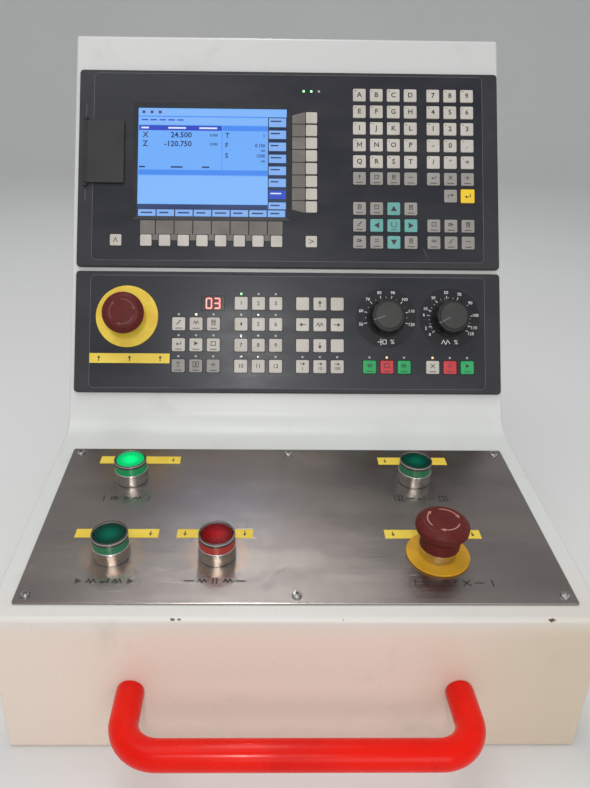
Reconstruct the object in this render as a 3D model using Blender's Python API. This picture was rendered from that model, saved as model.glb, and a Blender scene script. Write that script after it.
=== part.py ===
"""Operator console of a CNC lathe: a folded steel enclosure with a sloping desk and a leaning
upright, a display unit with keyboard, a machine control panel, lit pushbuttons, two emergency
stops and a tubular handle.

Metres, +Z up, the operator at -Y. The origin is the middle of the enclosure's footprint box.
Three empties carry the working faces: each has its local Z along the outward normal and its
local Y up the face, so every control is placed by where it sits on its face."""

import math

import bmesh
import bpy
from mathutils import Matrix, Vector

# Enclosure, seen from the side. The neck line is where the planes of desk and upright meet.
WIDTH = 0.428
APRON_HEIGHT = 0.125
DESK_LENGTH = 0.2425
DESK_SLOPE = math.radians(5)
UPRIGHT_LEAN = math.radians(28)
UPRIGHT_DEPTH = 0.110
BASE_REACH = 0.110
SHEET = 0.002
NECK_RADIUS = 0.030
KINK_RADIUS = 0.008
FOLD_RADIUS = 0.004
SIDE_EDGE_RADIUS = 0.0025
GAP = 0.0003

# Rear cover and the plate that stiffens the foot
COVER_THICKNESS = 0.002
COVER_LAP = 0.012
COVER_LIP = 0.008
COVER_FOOT = 0.070
COVER_HEAD = 0.022
COVER_SLIP = 0.0010
REAR_RIM = 0.018
FOOT_PLATE = (0.180, 0.180, 0.005)
FOOT_BOLT_PITCH = 0.130
FOOT_BOLT_HOLE = 0.009

# Units in the upright
BEZEL_WIDTH = 0.420
BEZEL_THICKNESS = 0.0047
BEZEL_CORNER = 0.003
BEZEL_CHAMFER = 0.0008
BEZEL_OFFSET = 0.0014
DISPLAY_HEIGHT = 0.200
CONTROL_HEIGHT = 0.120
HEAD_MARGIN = 0.039
NECK_MARGIN = 0.0345
UNIT_GAP = 0.0045
UPRIGHT_LENGTH = HEAD_MARGIN + DISPLAY_HEIGHT + UNIT_GAP + CONTROL_HEIGHT + NECK_MARGIN
CUTOUT_MARGIN = 0.007
HOUSING_MARGIN = 0.008
HOUSING_WALL = 0.002
DISPLAY_DEPTH = 0.062
CONTROL_DEPTH = 0.056

# Modules of the fronts: 420 across both units, 200 up the display unit, 120 up the control panel
ACROSS = BEZEL_WIDTH / 420
UP = DISPLAY_HEIGHT / 200
CONTROL_UP = CONTROL_HEIGHT / 120
MODULE = min(ACROSS, UP, CONTROL_UP)

# Keys
KEY = 13.0 * MODULE
INPUT_KEY = 14.0 * MODULE
SOFTKEY = 11.5 * MODULE
COLUMN_PITCH = 17.1 * ACROSS
ROW_PITCH = 17.1 * UP
FUNCTION_PITCH = 17.0 * UP
SIDE_SOFTKEY_PITCH = 13.0 * UP
BOTTOM_SOFTKEY_PITCH = 18.5 * ACROSS
CONTROL_ROW_PITCH = 20.75 * CONTROL_UP
KEY_RISE = 0.0010
KEY_CHAMFER = 0.0007
KEY_CLEARANCE = 0.00035
KEY_TRAVEL = 0.0010
KEY_FLANGE = 0.0010
MAT_MARGIN = 0.0015
BOARD_THICKNESS = 0.0016

# Places on the display unit, from the middle of its front
SCREEN_AT = (-77.0 * ACROSS, 7.0 * UP)
SCREEN_VIEW = (149.0 * ACROSS, 111.0 * UP)
SCREEN_RECESS = (157.5 * ACROSS, 119.0 * UP)
GLASS_THICKNESS = 0.0012
GLASS_LAP = 0.002
SCREEN_LIP = 0.0014
MODULE_THICKNESS = 0.009
WELL = (26.0 * ACROSS, 50.0 * UP)
WELL_DEPTH = 0.016
WELL_WALL = 0.0015
WELL_CLEARANCE = 0.0011
WELL_INSET = HOUSING_MARGIN + HOUSING_WALL + WELL_CLEARANCE + WELL_WALL
FLAP_AT = (-BEZEL_WIDTH / 2 + WELL_INSET + WELL[0] / 2, 15.0 * UP)
FLAP = (40.0 * ACROSS, 63.0 * UP)
FLAP_THICKNESS = 0.0018
FLAP_BARREL = 0.0036
FLAP_PIN = 0.0016
FLAP_EAR = 0.0030
PORT = (0.0066, 0.0140, 0.0060)
PORT_DEPTH = 0.0045
PORT_WALL = 0.0006
FIRST_LETTER_X = 70.4 * ACROSS
FIRST_NUMBER_X = 144.6 * ACROSS
TOP_KEY_Y = 76.6 * UP
LETTER_COLUMNS = 4
NUMBER_COLUMNS = 3
LETTER_ROWS = 6
FUNCTION_ROWS = 3
FOOT_KEY_Y = -73.5 * UP
SIDE_SOFTKEYS_X = 22.3 * ACROSS
BACK_KEY_X = -171.6 * ACROSS
SOFTKEYS = 8

# Places on the control panel, from the middle of its front
STOP_AT = (-158.9 * ACROSS, 14.7 * CONTROL_UP)
MODE_X = -108.2 * ACROSS
USER_X = -46.9 * ACROSS
AXIS_X = 13.8 * ACROSS
CONTROL_FOOT_Y = -33.7 * CONTROL_UP
GROUP_COLUMNS = 3
CONTROL_ROWS = 4
DIAL_X = (96.6 * ACROSS, 159.6 * ACROSS)
DIAL_Y = 15.3 * CONTROL_UP
COLOUR_KEY_X = (79.9 * ACROSS, 142.3 * ACROSS)
WINDOW_AT = (-74.7 * ACROSS, 28.4 * CONTROL_UP)
WINDOW = (22.0 * ACROSS, 14.5 * CONTROL_UP)

# Override knobs
KNOB_RADIUS = 0.0165
KNOB_SKIRT = 0.0190
KNOB_HEIGHT = 0.0170
KNOB_FLUTES = 12
KNOB_FLUTE_DEPTH = 0.0007
SHAFT = 0.0060
SWITCH = (0.027, 0.027, 0.014)

# Desk plate and what stands on it
PLATE_THICKNESS = 0.0015
PLATE_SIDE_MARGIN = 0.0150
PLATE_FRONT_MARGIN = 0.0132
PLATE_BACK_MARGIN = 0.0393
PLATE_CORNER = 0.0015
PLATE = (WIDTH - 2 * PLATE_SIDE_MARGIN, DESK_LENGTH - PLATE_FRONT_MARGIN - PLATE_BACK_MARGIN)
BACK_ROW_MARGIN = 0.0452
FRONT_ROW_MARGIN = 0.0493
BUTTON_SIDE_MARGIN = 0.0610
BUTTON_SPACING = 0.0797
DOOR_SIDE_MARGIN = 0.0900
STOP_SIDE_MARGIN = 0.0897
BACK_ROW = PLATE_BACK_MARGIN + BACK_ROW_MARGIN
FRONT_ROW = DESK_LENGTH - PLATE_FRONT_MARGIN - FRONT_ROW_MARGIN
DRIVE_X = BUTTON_SIDE_MARGIN - PLATE[0] / 2
HOLD_X = DRIVE_X + BUTTON_SPACING
DOOR_X = PLATE[0] / 2 - DOOR_SIDE_MARGIN
DESK_STOP_X = PLATE[0] / 2 - STOP_SIDE_MARGIN

# Pushbuttons and emergency stops
BARREL = 0.0218
MOUNTING_HOLE = 0.0225
BUTTON_DIAMETER = 0.0285
BUTTON_HEIGHT = 0.0206
BUTTON_BORE = 0.0244
BUTTON_TRAVEL = 0.0035
BARREL_LENGTH = 0.019
STEM = 0.0174
RUNNING_CLEARANCE = 0.0004
CONTACT = (0.030, 0.034, 0.030)
STOP_HEAD = 0.0400
STOP_NECK = 0.0300
STOP_COLLAR = 0.0276
STOP_TRAVEL = 0.0055
DESK_STOP_HEIGHT = 0.0345
CONTROL_STOP_HEIGHT = 0.0285
DESK_STOP_DISC = 0.0480
CONTROL_STOP_DISC = 0.0610
STOP_DISC_THICKNESS = 0.0015

# Handle on the apron
HANDLE_DIAMETER = 0.0205
HANDLE_SIDE_MARGIN = 0.0954
HANDLE_CENTRES = WIDTH - 2 * HANDLE_SIDE_MARGIN
HANDLE_STANDOFF = 0.053
HANDLE_BEND = 0.026
HANDLE_BEND_STEPS = 7
HANDLE_DROP = 0.0655
SCREW = 0.008
SCREW_HEAD = 0.016
SCREW_HEAD_HEIGHT = 0.006

# Blanked cable entry in the rear wall of the base
ENTRY_HOLE = 0.028
ENTRY_FLANGE = 0.036
ENTRY_DISH = 0.016
ENTRY_RISE = 0.007
ENTRY_SIDE_MARGIN = 0.074
ENTRY_UP = 0.045
ENTRY_PLACE = (ENTRY_SIDE_MARGIN - WIDTH / 2, ENTRY_UP)

# Facets round a circle, and round a small one
ROUND = 24
SMALL = 12


def material(name, colour, roughness, metallic=0.0):
    made = bpy.data.materials.new(name)
    made.use_nodes = True
    shader = made.node_tree.nodes["Principled BSDF"]
    shader.inputs["Base Color"].default_value = (*colour, 1.0)
    shader.inputs["Roughness"].default_value = roughness
    shader.inputs["Metallic"].default_value = metallic
    return made


def clear_scene():
    for thing in list(bpy.data.objects):
        bpy.data.objects.remove(thing, do_unlink=True)


def frame(name, location, pitch, parent=None, heading=0.0):
    """An empty whose local Z is a face's outward normal and whose local Y runs up that face."""
    made = bpy.data.objects.new(name, None)
    bpy.context.scene.collection.objects.link(made)
    made.location = location
    made.rotation_euler = (pitch, 0.0, heading)
    made.parent = parent
    return made


def add(name, bm, look=None, parent=None, at=(0.0, 0.0, 0.0), smooth=None):
    """A finished object from a bmesh, shaded smooth below the given angle."""
    bmesh.ops.remove_doubles(bm, verts=bm.verts, dist=1e-7)
    bmesh.ops.recalc_face_normals(bm, faces=bm.faces)
    mesh = bpy.data.meshes.new(name)
    bm.to_mesh(mesh)
    bm.free()
    if smooth is not None:
        mesh.shade_smooth()
        mesh.set_sharp_from_angle(angle=math.radians(smooth))
    made = bpy.data.objects.new(name, mesh)
    bpy.context.scene.collection.objects.link(made)
    made.location = at
    made.parent = parent
    if look is not None:
        made.data.materials.append(look)
    return made


def boolean(target, name, bm, operation="DIFFERENCE", parent=None, at=(0.0, 0.0, 0.0)):
    """Cuts a bmesh from an object, or joins it on, through a hidden helper."""
    helper = add(name, bm, parent=parent, at=at)
    helper.hide_render = True
    helper.display_type = "WIRE"
    modifier = target.modifiers.new(name, "BOOLEAN")
    modifier.operation = operation
    modifier.solver = "EXACT"
    modifier.object = helper
    return helper


def rounded(corners, steps=2):
    """An outline with its corners (x, y, radius) rounded, the wide ones in more steps."""
    points = []
    for i, (x, y, radius) in enumerate(corners):
        here = Vector((x, y))
        before = Vector(corners[i - 1][:2]) - here
        after = Vector(corners[(i + 1) % len(corners)][:2]) - here
        before.normalize()
        after.normalize()
        half = before.angle(after) / 2
        if radius < 1e-6:
            points.append((x, y))
            continue
        middle = here + (before + after).normalized() * radius / math.sin(half)
        start = here + before * radius / math.tan(half) - middle
        end = here + after * radius / math.tan(half) - middle
        turn = start.angle_signed(end)
        pieces = steps * 4 if radius > NECK_RADIUS / 2 else steps
        for step in range(pieces + 1):
            swing = Matrix.Rotation(-turn * step / pieces, 2)
            points.append(tuple(middle + swing @ start))
    return points


def inset(corners, distance):
    """The same corners on sides moved inwards, for an outline that runs anticlockwise."""
    moved = []
    for i, (x, y, radius) in enumerate(corners):
        here = Vector((x, y))
        came = (here - Vector(corners[i - 1][:2])).normalized()
        goes = (Vector(corners[(i + 1) % len(corners)][:2]) - here).normalized()
        bend = came.cross(goes)
        inward = Vector((-came.y, came.x)) + Vector((-goes.y, goes.x))
        corner = here + inward * distance / (1 + came.dot(goes))
        softened = max(radius - math.copysign(distance, bend), GAP) if radius else 0.0
        moved.append((corner.x, corner.y, softened))
    return moved


def rectangle(width, height, radius=0.0, centre=(0.0, 0.0)):
    x, y = centre
    half_w, half_h = width / 2, height / 2
    return [
        (x - half_w, y - half_h, radius),
        (x + half_w, y - half_h, radius),
        (x + half_w, y + half_h, radius),
        (x - half_w, y + half_h, radius),
    ]


def loft(sections, bm=None):
    """A closed solid through outlines (points, z) of equal point count, capped at both ends."""
    bm = bm or bmesh.new()
    rings = [[bm.verts.new((x, y, z)) for x, y in points] for points, z in sections]
    for low, high in zip(rings, rings[1:]):
        for i in range(len(low)):
            bm.faces.new((low[i - 1], low[i], high[i], high[i - 1]))
    bm.faces.new(reversed(rings[0]))
    bm.faces.new(rings[-1])
    return bm


def slab(corners, low, high, chamfer=0.0, bm=None):
    """A plate between two heights, its top edge chamfered."""
    sections = [(rounded(corners), low), (rounded(corners), high - chamfer)]
    if chamfer > 0:
        sections.append((rounded(inset(corners, chamfer)), high))
    return loft(sections, bm)


def turned(profile, segments=ROUND, bm=None, at=(0.0, 0.0)):
    """A solid of revolution about local Z from (radius, height) points, closed if off the axis."""
    made = bmesh.new()
    verts = [made.verts.new((radius, 0.0, height)) for radius, height in profile]
    pairs = list(zip(verts, verts[1:]))
    if profile[0][0] > 0 or profile[-1][0] > 0:
        pairs.append((verts[-1], verts[0]))
    edges = [made.edges.new(pair) for pair in pairs]
    bmesh.ops.spin(
        made, geom=verts + edges, axis=(0, 0, 1), cent=(0, 0, 0), angle=math.tau, steps=segments
    )
    bmesh.ops.remove_doubles(made, verts=made.verts, dist=1e-6)
    bmesh.ops.translate(made, verts=made.verts, vec=(at[0], at[1], 0.0))
    if bm is None:
        return made
    mesh = bpy.data.meshes.new("turned")
    made.to_mesh(mesh)
    made.free()
    bm.from_mesh(mesh)
    bpy.data.meshes.remove(mesh)
    return bm


def rod(diameter, low, high, segments=ROUND, bm=None, at=(0.0, 0.0)):
    radius = diameter / 2
    return turned([(0.0, low), (radius, low), (radius, high), (0.0, high)], segments, bm, at)


class Enclosure:
    """The side outline of the folded box and the lines that other pieces are placed from."""

    def __init__(self):
        cos_slope, sin_slope = math.cos(DESK_SLOPE), math.sin(DESK_SLOPE)
        cos_lean, sin_lean = math.cos(UPRIGHT_LEAN), math.sin(UPRIGHT_LEAN)
        fold = Vector((-DESK_LENGTH * cos_slope, -DESK_LENGTH * sin_slope))
        toe = fold - Vector((0.0, APRON_HEIGHT))
        kink = Vector((BASE_REACH, (BASE_REACH * cos_lean - UPRIGHT_DEPTH) / sin_lean))
        crown = Vector((UPRIGHT_LENGTH * sin_lean, UPRIGHT_LENGTH * cos_lean))
        crown_rear = crown + UPRIGHT_DEPTH * Vector((cos_lean, -sin_lean))
        corners = [
            (*toe, FOLD_RADIUS),
            (BASE_REACH, toe.y, FOLD_RADIUS),
            (*kink, KINK_RADIUS),
            (*crown_rear, FOLD_RADIUS),
            (*crown, FOLD_RADIUS),
            (0.0, 0.0, NECK_RADIUS),
            (*fold, FOLD_RADIUS),
        ]
        reach_front = fold.x - HANDLE_STANDOFF - HANDLE_DIAMETER / 2
        reach_rear = max(x for x, _ in rounded(corners))
        self.neck = Vector((-(reach_front + reach_rear) / 2, -toe.y))
        self.fold = fold + self.neck
        self.corners = [(x + self.neck.x, y + self.neck.y, radius) for x, y, radius in corners]
        # Distance up the upright from the neck line to the kink in the rear wall
        self.kink_rise = kink.x * sin_lean + kink.y * cos_lean


def sideways(bm):
    """Turns a solid drawn in the side view, so that its local Z runs across the console."""
    bmesh.ops.transform(
        bm, matrix=Matrix(((0, 0, 1, 0), (1, 0, 0, 0), (0, 1, 0, 0), (0, 0, 0, 1))), verts=bm.verts
    )
    return bm


def outer_skin(box):
    """The outside of the box, with its side edges rounded over."""
    sections = []
    for side in (-1, 1):
        rounds = []
        for step in range(3):
            turn = math.radians(45 * step)
            depth = SIDE_EDGE_RADIUS * (1 - math.cos(turn))
            across = WIDTH / 2 - SIDE_EDGE_RADIUS * (1 - math.sin(turn))
            rounds.append((rounded(inset(box.corners, depth) if depth else box.corners), side * across))
        sections += reversed(rounds) if side < 0 else rounds
    return sideways(loft(sections))


def unit_cutout(height):
    return rectangle(BEZEL_WIDTH - 2 * CUTOUT_MARGIN, height - 2 * CUTOUT_MARGIN, BEZEL_CORNER)


def enclosure_body(box, faces, look):
    """Sheet steel box, folded and welded, open behind for the rear cover."""
    body = add("enclosure_body", outer_skin(box), look, smooth=35)
    inner = rounded(inset(box.corners, SHEET))
    half = WIDTH / 2 - SHEET
    boolean(body, "cut_inside", sideways(loft([(inner, -half), (inner, half)])))
    low, high = rear_opening(box)
    opening = rectangle(
        WIDTH - 2 * REAR_RIM, high - low, FOLD_RADIUS, centre=(0.0, (low + high) / 2)
    )
    through = (-UPRIGHT_DEPTH - 4 * SHEET, -UPRIGHT_DEPTH + 3 * SHEET)
    boolean(body, "cut_rear", slab(opening, *through), parent=faces["upright"])
    for unit, height in (("display", DISPLAY_HEIGHT), ("control", CONTROL_HEIGHT)):
        tool = slab(unit_cutout(height), -BEZEL_THICKNESS - 3 * SHEET, 0.0)
        boolean(body, f"cut_{unit}", tool, parent=faces[unit])
    holes = bmesh.new()
    for x, y in desk_places():
        rod(MOUNTING_HOLE, -2 * SHEET, 2 * SHEET, bm=holes, at=(x, y))
    boolean(body, "cut_desk", holes, parent=faces["desk"])
    holes = bmesh.new()
    for x in (-HANDLE_CENTRES / 2, HANDLE_CENTRES / 2):
        rod(SCREW + 2 * GAP, -2 * SHEET, SHEET, SMALL, holes, (x, -HANDLE_DROP))
    boolean(body, "cut_apron", holes, parent=faces["apron"])
    boolean(body, "cut_foot", foot_holes(), at=(0.0, foot_centre(box), 0.0))
    entry = rod(ENTRY_HOLE, -2 * SHEET, SHEET, at=ENTRY_PLACE)
    boolean(body, "cut_entry", entry, parent=faces["rear"])
    return body


def rear_opening(box):
    """How far up the upright the rear opening starts and ends."""
    return box.kink_rise + COVER_FOOT, UPRIGHT_LENGTH - COVER_HEAD


def foot_centre(box):
    return (box.corners[0][0] + box.corners[1][0]) / 2


def foot_holes():
    holes = bmesh.new()
    half = FOOT_BOLT_PITCH / 2
    for x in (-half, half):
        for y in (-half, half):
            rod(FOOT_BOLT_HOLE, -SHEET, 3 * SHEET + FOOT_PLATE[2], SMALL, holes, (x, y))
    return holes


def foot_plate(box, look):
    """Plate that spreads the load of the four fixing bolts inside the foot."""
    width, depth, thickness = FOOT_PLATE
    low = SHEET + GAP
    bm = slab(rectangle(width, depth, 0.004), low, low + thickness)
    plate = add("foot_plate", bm, look, at=(0.0, foot_centre(box), 0.0))
    boolean(plate, "cut_foot_plate", foot_holes(), at=(0.0, foot_centre(box), 0.0))
    return plate


def rear_cover(box, upright, look):
    """Lift-off cover over the rear opening, its rim folded inwards through the opening."""
    low, high = rear_opening(box)
    centre = (0.0, (low + high) / 2)
    width = WIDTH - 2 * REAR_RIM
    height = high - low
    face = -UPRIGHT_DEPTH - GAP
    bm = slab(
        rectangle(width + 2 * COVER_LAP, height + 2 * COVER_LAP, 0.004, centre),
        face - COVER_THICKNESS,
        face,
    )
    cover = add("rear_cover", bm, look, upright)
    rim = rectangle(width - 2 * COVER_SLIP, height - 2 * COVER_SLIP, FOLD_RADIUS, centre)
    top = face + COVER_LIP
    boolean(cover, "cover_rim", slab(rim, face - COVER_THICKNESS / 2, top), "UNION", upright)
    hollow = inset(rim, COVER_THICKNESS)
    boolean(cover, "cover_hollow", slab(hollow, face, top + SHEET), parent=upright)
    return cover


def desk_places():
    """Centres of the round mounting holes on the desk, from the neck line."""
    return [
        (DRIVE_X, -BACK_ROW),
        (DOOR_X, -BACK_ROW),
        (DRIVE_X, -FRONT_ROW),
        (HOLD_X, -FRONT_ROW),
        (DESK_STOP_X, -FRONT_ROW),
    ]


def desk_plate(desk, look):
    width, depth = PLATE
    middle = DESK_LENGTH - PLATE_FRONT_MARGIN - depth / 2
    bm = slab(rectangle(width, depth, PLATE_CORNER, (0.0, -middle)), GAP, GAP + PLATE_THICKNESS, 0.0003)
    plate = add("desk_plate", bm, look, desk)
    holes = bmesh.new()
    for x, y in desk_places():
        rod(MOUNTING_HOLE, -SHEET, 2 * SHEET, bm=holes, at=(x, y))
    boolean(plate, "cut_plate", holes, parent=desk)
    return plate


def cable_entry(rear, look):
    """Closed rubber grommet, gripping the edge of its hole between two flanges."""
    groove = ENTRY_HOLE / 2 - GAP
    flange = ENTRY_FLANGE / 2
    dish = ENTRY_DISH / 2
    inner = -SHEET - GAP
    profile = [
        (0.0, inner - SHEET),
        (flange, inner - SHEET),
        (flange, inner),
        (groove, inner),
        (groove, GAP),
        (flange, GAP),
        (flange - 0.001, GAP + 0.0025),
        (dish + 0.003, GAP + 0.003),
        (dish + 0.0015, ENTRY_RISE),
        (dish, ENTRY_RISE),
        (dish, SHEET),
        (0.0, SHEET),
    ]
    add("cable_entry", turned(profile, 20), look, rear, (*ENTRY_PLACE, 0.0), smooth=30)


def handle(apron, look):
    """Round bar bent to a U, its legs square to the apron."""
    half = HANDLE_CENTRES / 2
    turns = [math.pi / 2 * (1 - step / HANDLE_BEND_STEPS) for step in range(HANDLE_BEND_STEPS + 1)]
    left = [(-half, GAP)]
    for turn in turns:
        across = half - HANDLE_BEND * (1 - math.sin(turn))
        left.append((-across, HANDLE_STANDOFF - HANDLE_BEND * (1 - math.cos(turn))))
    right = [(-x, out) for x, out in reversed(left)]
    return bar("handle", [(x, 0.0, out) for x, out in left + right], apron, look)


def bar(name, points, parent, look):
    curve = bpy.data.curves.new(name, "CURVE")
    curve.dimensions = "3D"
    curve.bevel_depth = HANDLE_DIAMETER / 2
    curve.bevel_resolution = 4
    curve.use_fill_caps = True
    spline = curve.splines.new("POLY")
    spline.points.add(len(points) - 1)
    for point, (x, y, z) in zip(spline.points, points):
        point.co = (x, y, z, 1.0)
    made = bpy.data.objects.new(name, curve)
    bpy.context.scene.collection.objects.link(made)
    made.parent = parent
    made.location = (0.0, -HANDLE_DROP, 0.0)
    curve.materials.append(look)
    return made


def bezel(name, parent, height, openings, look):
    """Moulded front plate with one cutter for all its openings."""
    corners = rectangle(BEZEL_WIDTH, height, BEZEL_CORNER)
    made = add(name, slab(corners, -BEZEL_THICKNESS, 0.0, BEZEL_CHAMFER), look, parent, smooth=30)
    tool = bmesh.new()
    for (x, y), (wide, tall) in openings:
        slab(rectangle(wide, tall, 0.0, (x, y)), -2 * BEZEL_THICKNESS, BEZEL_THICKNESS, bm=tool)
    boolean(made, f"cut_{name}", tool, parent=parent)
    return made


def housing(name, parent, height, depth, look):
    """Tray behind a bezel, open to the front, passing through the cut-out in the upright."""
    top = -BEZEL_THICKNESS - GAP
    corners = rectangle(BEZEL_WIDTH - 2 * HOUSING_MARGIN, height - 2 * HOUSING_MARGIN, BEZEL_CORNER)
    made = add(name, slab(corners, top - depth, top), look, parent)
    inside = slab(inset(corners, HOUSING_WALL), top - depth + HOUSING_WALL, top + HOUSING_WALL)
    boolean(made, f"cut_{name}", inside, parent=parent)
    return made


def key_opening(size=KEY):
    return (size + 2 * KEY_CLEARANCE, size + 2 * KEY_CLEARANCE)


def mat_top():
    """Height of a mat's sheet and of a key's flange, just behind the bezel."""
    return -BEZEL_THICKNESS - GAP


def mat_thickness():
    """The sheet fills the space that a single key's flange needs to travel."""
    return KEY_FLANGE + KEY_TRAVEL


def strips(centres, size):
    """Bands across a mat: start, end, the keys each one touches, and whether it needs them all."""
    found = [(centres[0] - size / 2 - MAT_MARGIN, centres[0] - size / 2, (0,), False)]
    for i, centre in enumerate(centres):
        end = centre + size / 2
        found.append((centre - size / 2, end, (i,), False))
        if i + 1 == len(centres):
            found.append((end, end + MAT_MARGIN, (i,), False))
            continue
        start = centres[i + 1] - size / 2
        if start - end < 3 * MAT_MARGIN:
            found.append((end, start, (i, i + 1), False))
            continue
        found.append((end, end + MAT_MARGIN, (i,), False))
        found.append((end + MAT_MARGIN, start - MAT_MARGIN, (i, i + 1), True))
        found.append((start - MAT_MARGIN, start, (i + 1,), False))
    return found


def everywhere(column, row):
    return True


def key_mat(name, parent, columns, rows, look, there=everywhere, size=KEY):
    """One moulded mat: a thin sheet behind the bezel with a key standing up at each place."""
    bm = bmesh.new()
    low = mat_top() - mat_thickness()
    corner = {}

    def vertex(x, y):
        key = (round(x, 6), round(y, 6))
        if key not in corner:
            corner[key] = bm.verts.new((x, y, low))
        return corner[key]

    for y, y_end, touched_rows, all_rows in strips(rows, size):
        for x, x_end, touched_columns, all_columns in strips(columns, size):
            needs = all if all_rows or all_columns else any
            if needs(there(c, r) for c in touched_columns for r in touched_rows):
                bm.faces.new((vertex(x, y), vertex(x_end, y), vertex(x_end, y_end), vertex(x, y_end)))
    sheet = list(bm.faces)
    grown = bmesh.ops.extrude_face_region(bm, geom=sheet)["geom"]
    top = [item for item in grown if isinstance(item, bmesh.types.BMFace)]
    lifted = [item for item in grown if isinstance(item, bmesh.types.BMVert)]
    bmesh.ops.translate(bm, verts=lifted, vec=(0.0, 0.0, mat_thickness()))
    bmesh.ops.dissolve_faces(bm, faces=sheet)
    seats = [
        Vector((x, y))
        for c, x in enumerate(columns)
        for r, y in enumerate(rows)
        if there(c, r)
    ]
    keys = [face for face in top if stands_on(face, seats, size)]
    rise = BEZEL_THICKNESS + GAP + KEY_RISE - KEY_CHAMFER
    crowns = bmesh.ops.extrude_discrete_faces(bm, faces=keys)["faces"]
    verts = list({vert for face in crowns for vert in face.verts})
    bmesh.ops.translate(bm, verts=verts, vec=(0.0, 0.0, rise))
    bmesh.ops.recalc_face_normals(bm, faces=bm.faces)
    bmesh.ops.inset_individual(bm, faces=crowns, thickness=KEY_CHAMFER, depth=KEY_CHAMFER)
    return add(name, bm, look, parent)


def stands_on(face, seats, size):
    """Whether the face is the square of one of the seats."""
    middle = face.calc_center_median().to_2d()
    return any((middle - seat).length < size / 4 for seat in seats)


def single_key(name, parent, at, look, size=KEY):
    """One key with a flange behind the bezel, free to travel inwards."""
    under = mat_top()
    cap = rectangle(size, size)
    foot = rectangle(size + 2 * KEY_FLANGE, size + 2 * KEY_FLANGE)
    sections = [
        (rounded(foot), under - KEY_FLANGE),
        (rounded(foot), under),
        (rounded(cap), under),
        (rounded(cap), KEY_RISE - KEY_CHAMFER),
        (rounded(inset(cap, KEY_CHAMFER)), KEY_RISE),
    ]
    return add(name, loft(sections), look, parent, at=(*at, 0.0))


def board(name, parent, outline, look):
    """Circuit board on which the mats bear."""
    top = mat_top() - mat_thickness() - GAP
    return add(name, slab([(x, y, 0.0) for x, y in outline], top - BOARD_THICKNESS, top), look, parent)


def letter_columns():
    return [FIRST_LETTER_X + COLUMN_PITCH * i for i in range(LETTER_COLUMNS)]


def number_columns():
    return [FIRST_NUMBER_X + COLUMN_PITCH * i for i in range(NUMBER_COLUMNS)]


def alphanumeric_rows():
    return [TOP_KEY_Y - ROW_PITCH * i for i in reversed(range(LETTER_ROWS))]


def function_rows():
    return [FOOT_KEY_Y + FUNCTION_PITCH * i for i in range(FUNCTION_ROWS)]


def edit_key_y():
    return TOP_KEY_Y - ROW_PITCH * LETTER_ROWS


def softkey_columns():
    first = SCREEN_AT[0] - BOTTOM_SOFTKEY_PITCH * (SOFTKEYS - 1) / 2
    return [first + BOTTOM_SOFTKEY_PITCH * i for i in range(SOFTKEYS)]


def softkey_rows():
    first = SCREEN_AT[1] - SIDE_SOFTKEY_PITCH * (SOFTKEYS - 1) / 2
    return [first + SIDE_SOFTKEY_PITCH * i for i in range(SOFTKEYS)]


def display_openings():
    columns = letter_columns() + number_columns()
    found = [((x, y), key_opening()) for x in columns for y in alphanumeric_rows()]
    for row, y in enumerate(function_rows()):
        for column, x in enumerate(columns):
            if function_key_there(column, row):
                found.append(((x, y), key_opening()))
    found += [((x, FOOT_KEY_Y), key_opening(SOFTKEY)) for x in softkey_columns()]
    found += [((SIDE_SOFTKEYS_X, y), key_opening(SOFTKEY)) for y in softkey_rows()]
    found.append(((BACK_KEY_X, FOOT_KEY_Y), key_opening(SOFTKEY)))
    found.append(((SIDE_SOFTKEYS_X, FOOT_KEY_Y), key_opening(SOFTKEY)))
    found.append(((number_columns()[1], edit_key_y()), key_opening()))
    found.append(((number_columns()[2], edit_key_y()), key_opening(INPUT_KEY)))
    return found


def function_key_there(column, row):
    """The right block of function keys has no third row."""
    return column < LETTER_COLUMNS or row < FUNCTION_ROWS - 1


def screen_reveal():
    """Cutter for the screen's opening and the sloping sides around it."""
    depth = BEZEL_THICKNESS - GLASS_THICKNESS - SCREEN_LIP
    slope = (SCREEN_RECESS[0] - SCREEN_VIEW[0]) / 2
    grown = (SCREEN_RECESS[0] + slope, SCREEN_RECESS[1] + slope)
    stages = (
        (SCREEN_VIEW, -2 * BEZEL_THICKNESS),
        (SCREEN_VIEW, -depth),
        (SCREEN_RECESS, 0.0),
        (grown, depth / 2),
    )
    return loft([(rounded(rectangle(*size, centre=SCREEN_AT)), height) for size, height in stages])


def display_bezel(parent, look):
    made = bezel("display_bezel", parent, DISPLAY_HEIGHT, display_openings(), look)
    boolean(made, "cut_reveal", screen_reveal(), parent=parent)
    seat = rectangle(SCREEN_VIEW[0] + 2 * GLASS_LAP, SCREEN_VIEW[1] + 2 * GLASS_LAP, centre=SCREEN_AT)
    pocket = slab(seat, -BEZEL_THICKNESS - GAP, -BEZEL_THICKNESS + GLASS_THICKNESS + GAP)
    boolean(made, "cut_glass_seat", pocket, parent=parent)
    add_well(made, parent)
    add_flap_ears(made, parent)
    return made


def add_well(made, parent):
    """Blind well behind the flap, moulded on the back of the bezel."""
    wide, tall = WELL
    x, y = FLAP_AT
    outside = rectangle(wide + 2 * WELL_WALL, tall + 2 * WELL_WALL, 0.002, (x, y))
    floor = -WELL_DEPTH - WELL_WALL
    boolean(made, "well_walls", slab(outside, floor, -BEZEL_THICKNESS / 2), "UNION", parent)
    inside = rectangle(wide, tall, 0.001, (x, y))
    boolean(made, "well_hollow", slab(inside, -WELL_DEPTH, BEZEL_THICKNESS), parent=parent)


def flap_axis():
    """Middle of the flap's hinge line."""
    return (FLAP_AT[0] - FLAP[0] / 2 + FLAP_BARREL / 2, FLAP_AT[1], GAP + 0.0002 + FLAP_BARREL / 2)


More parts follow.
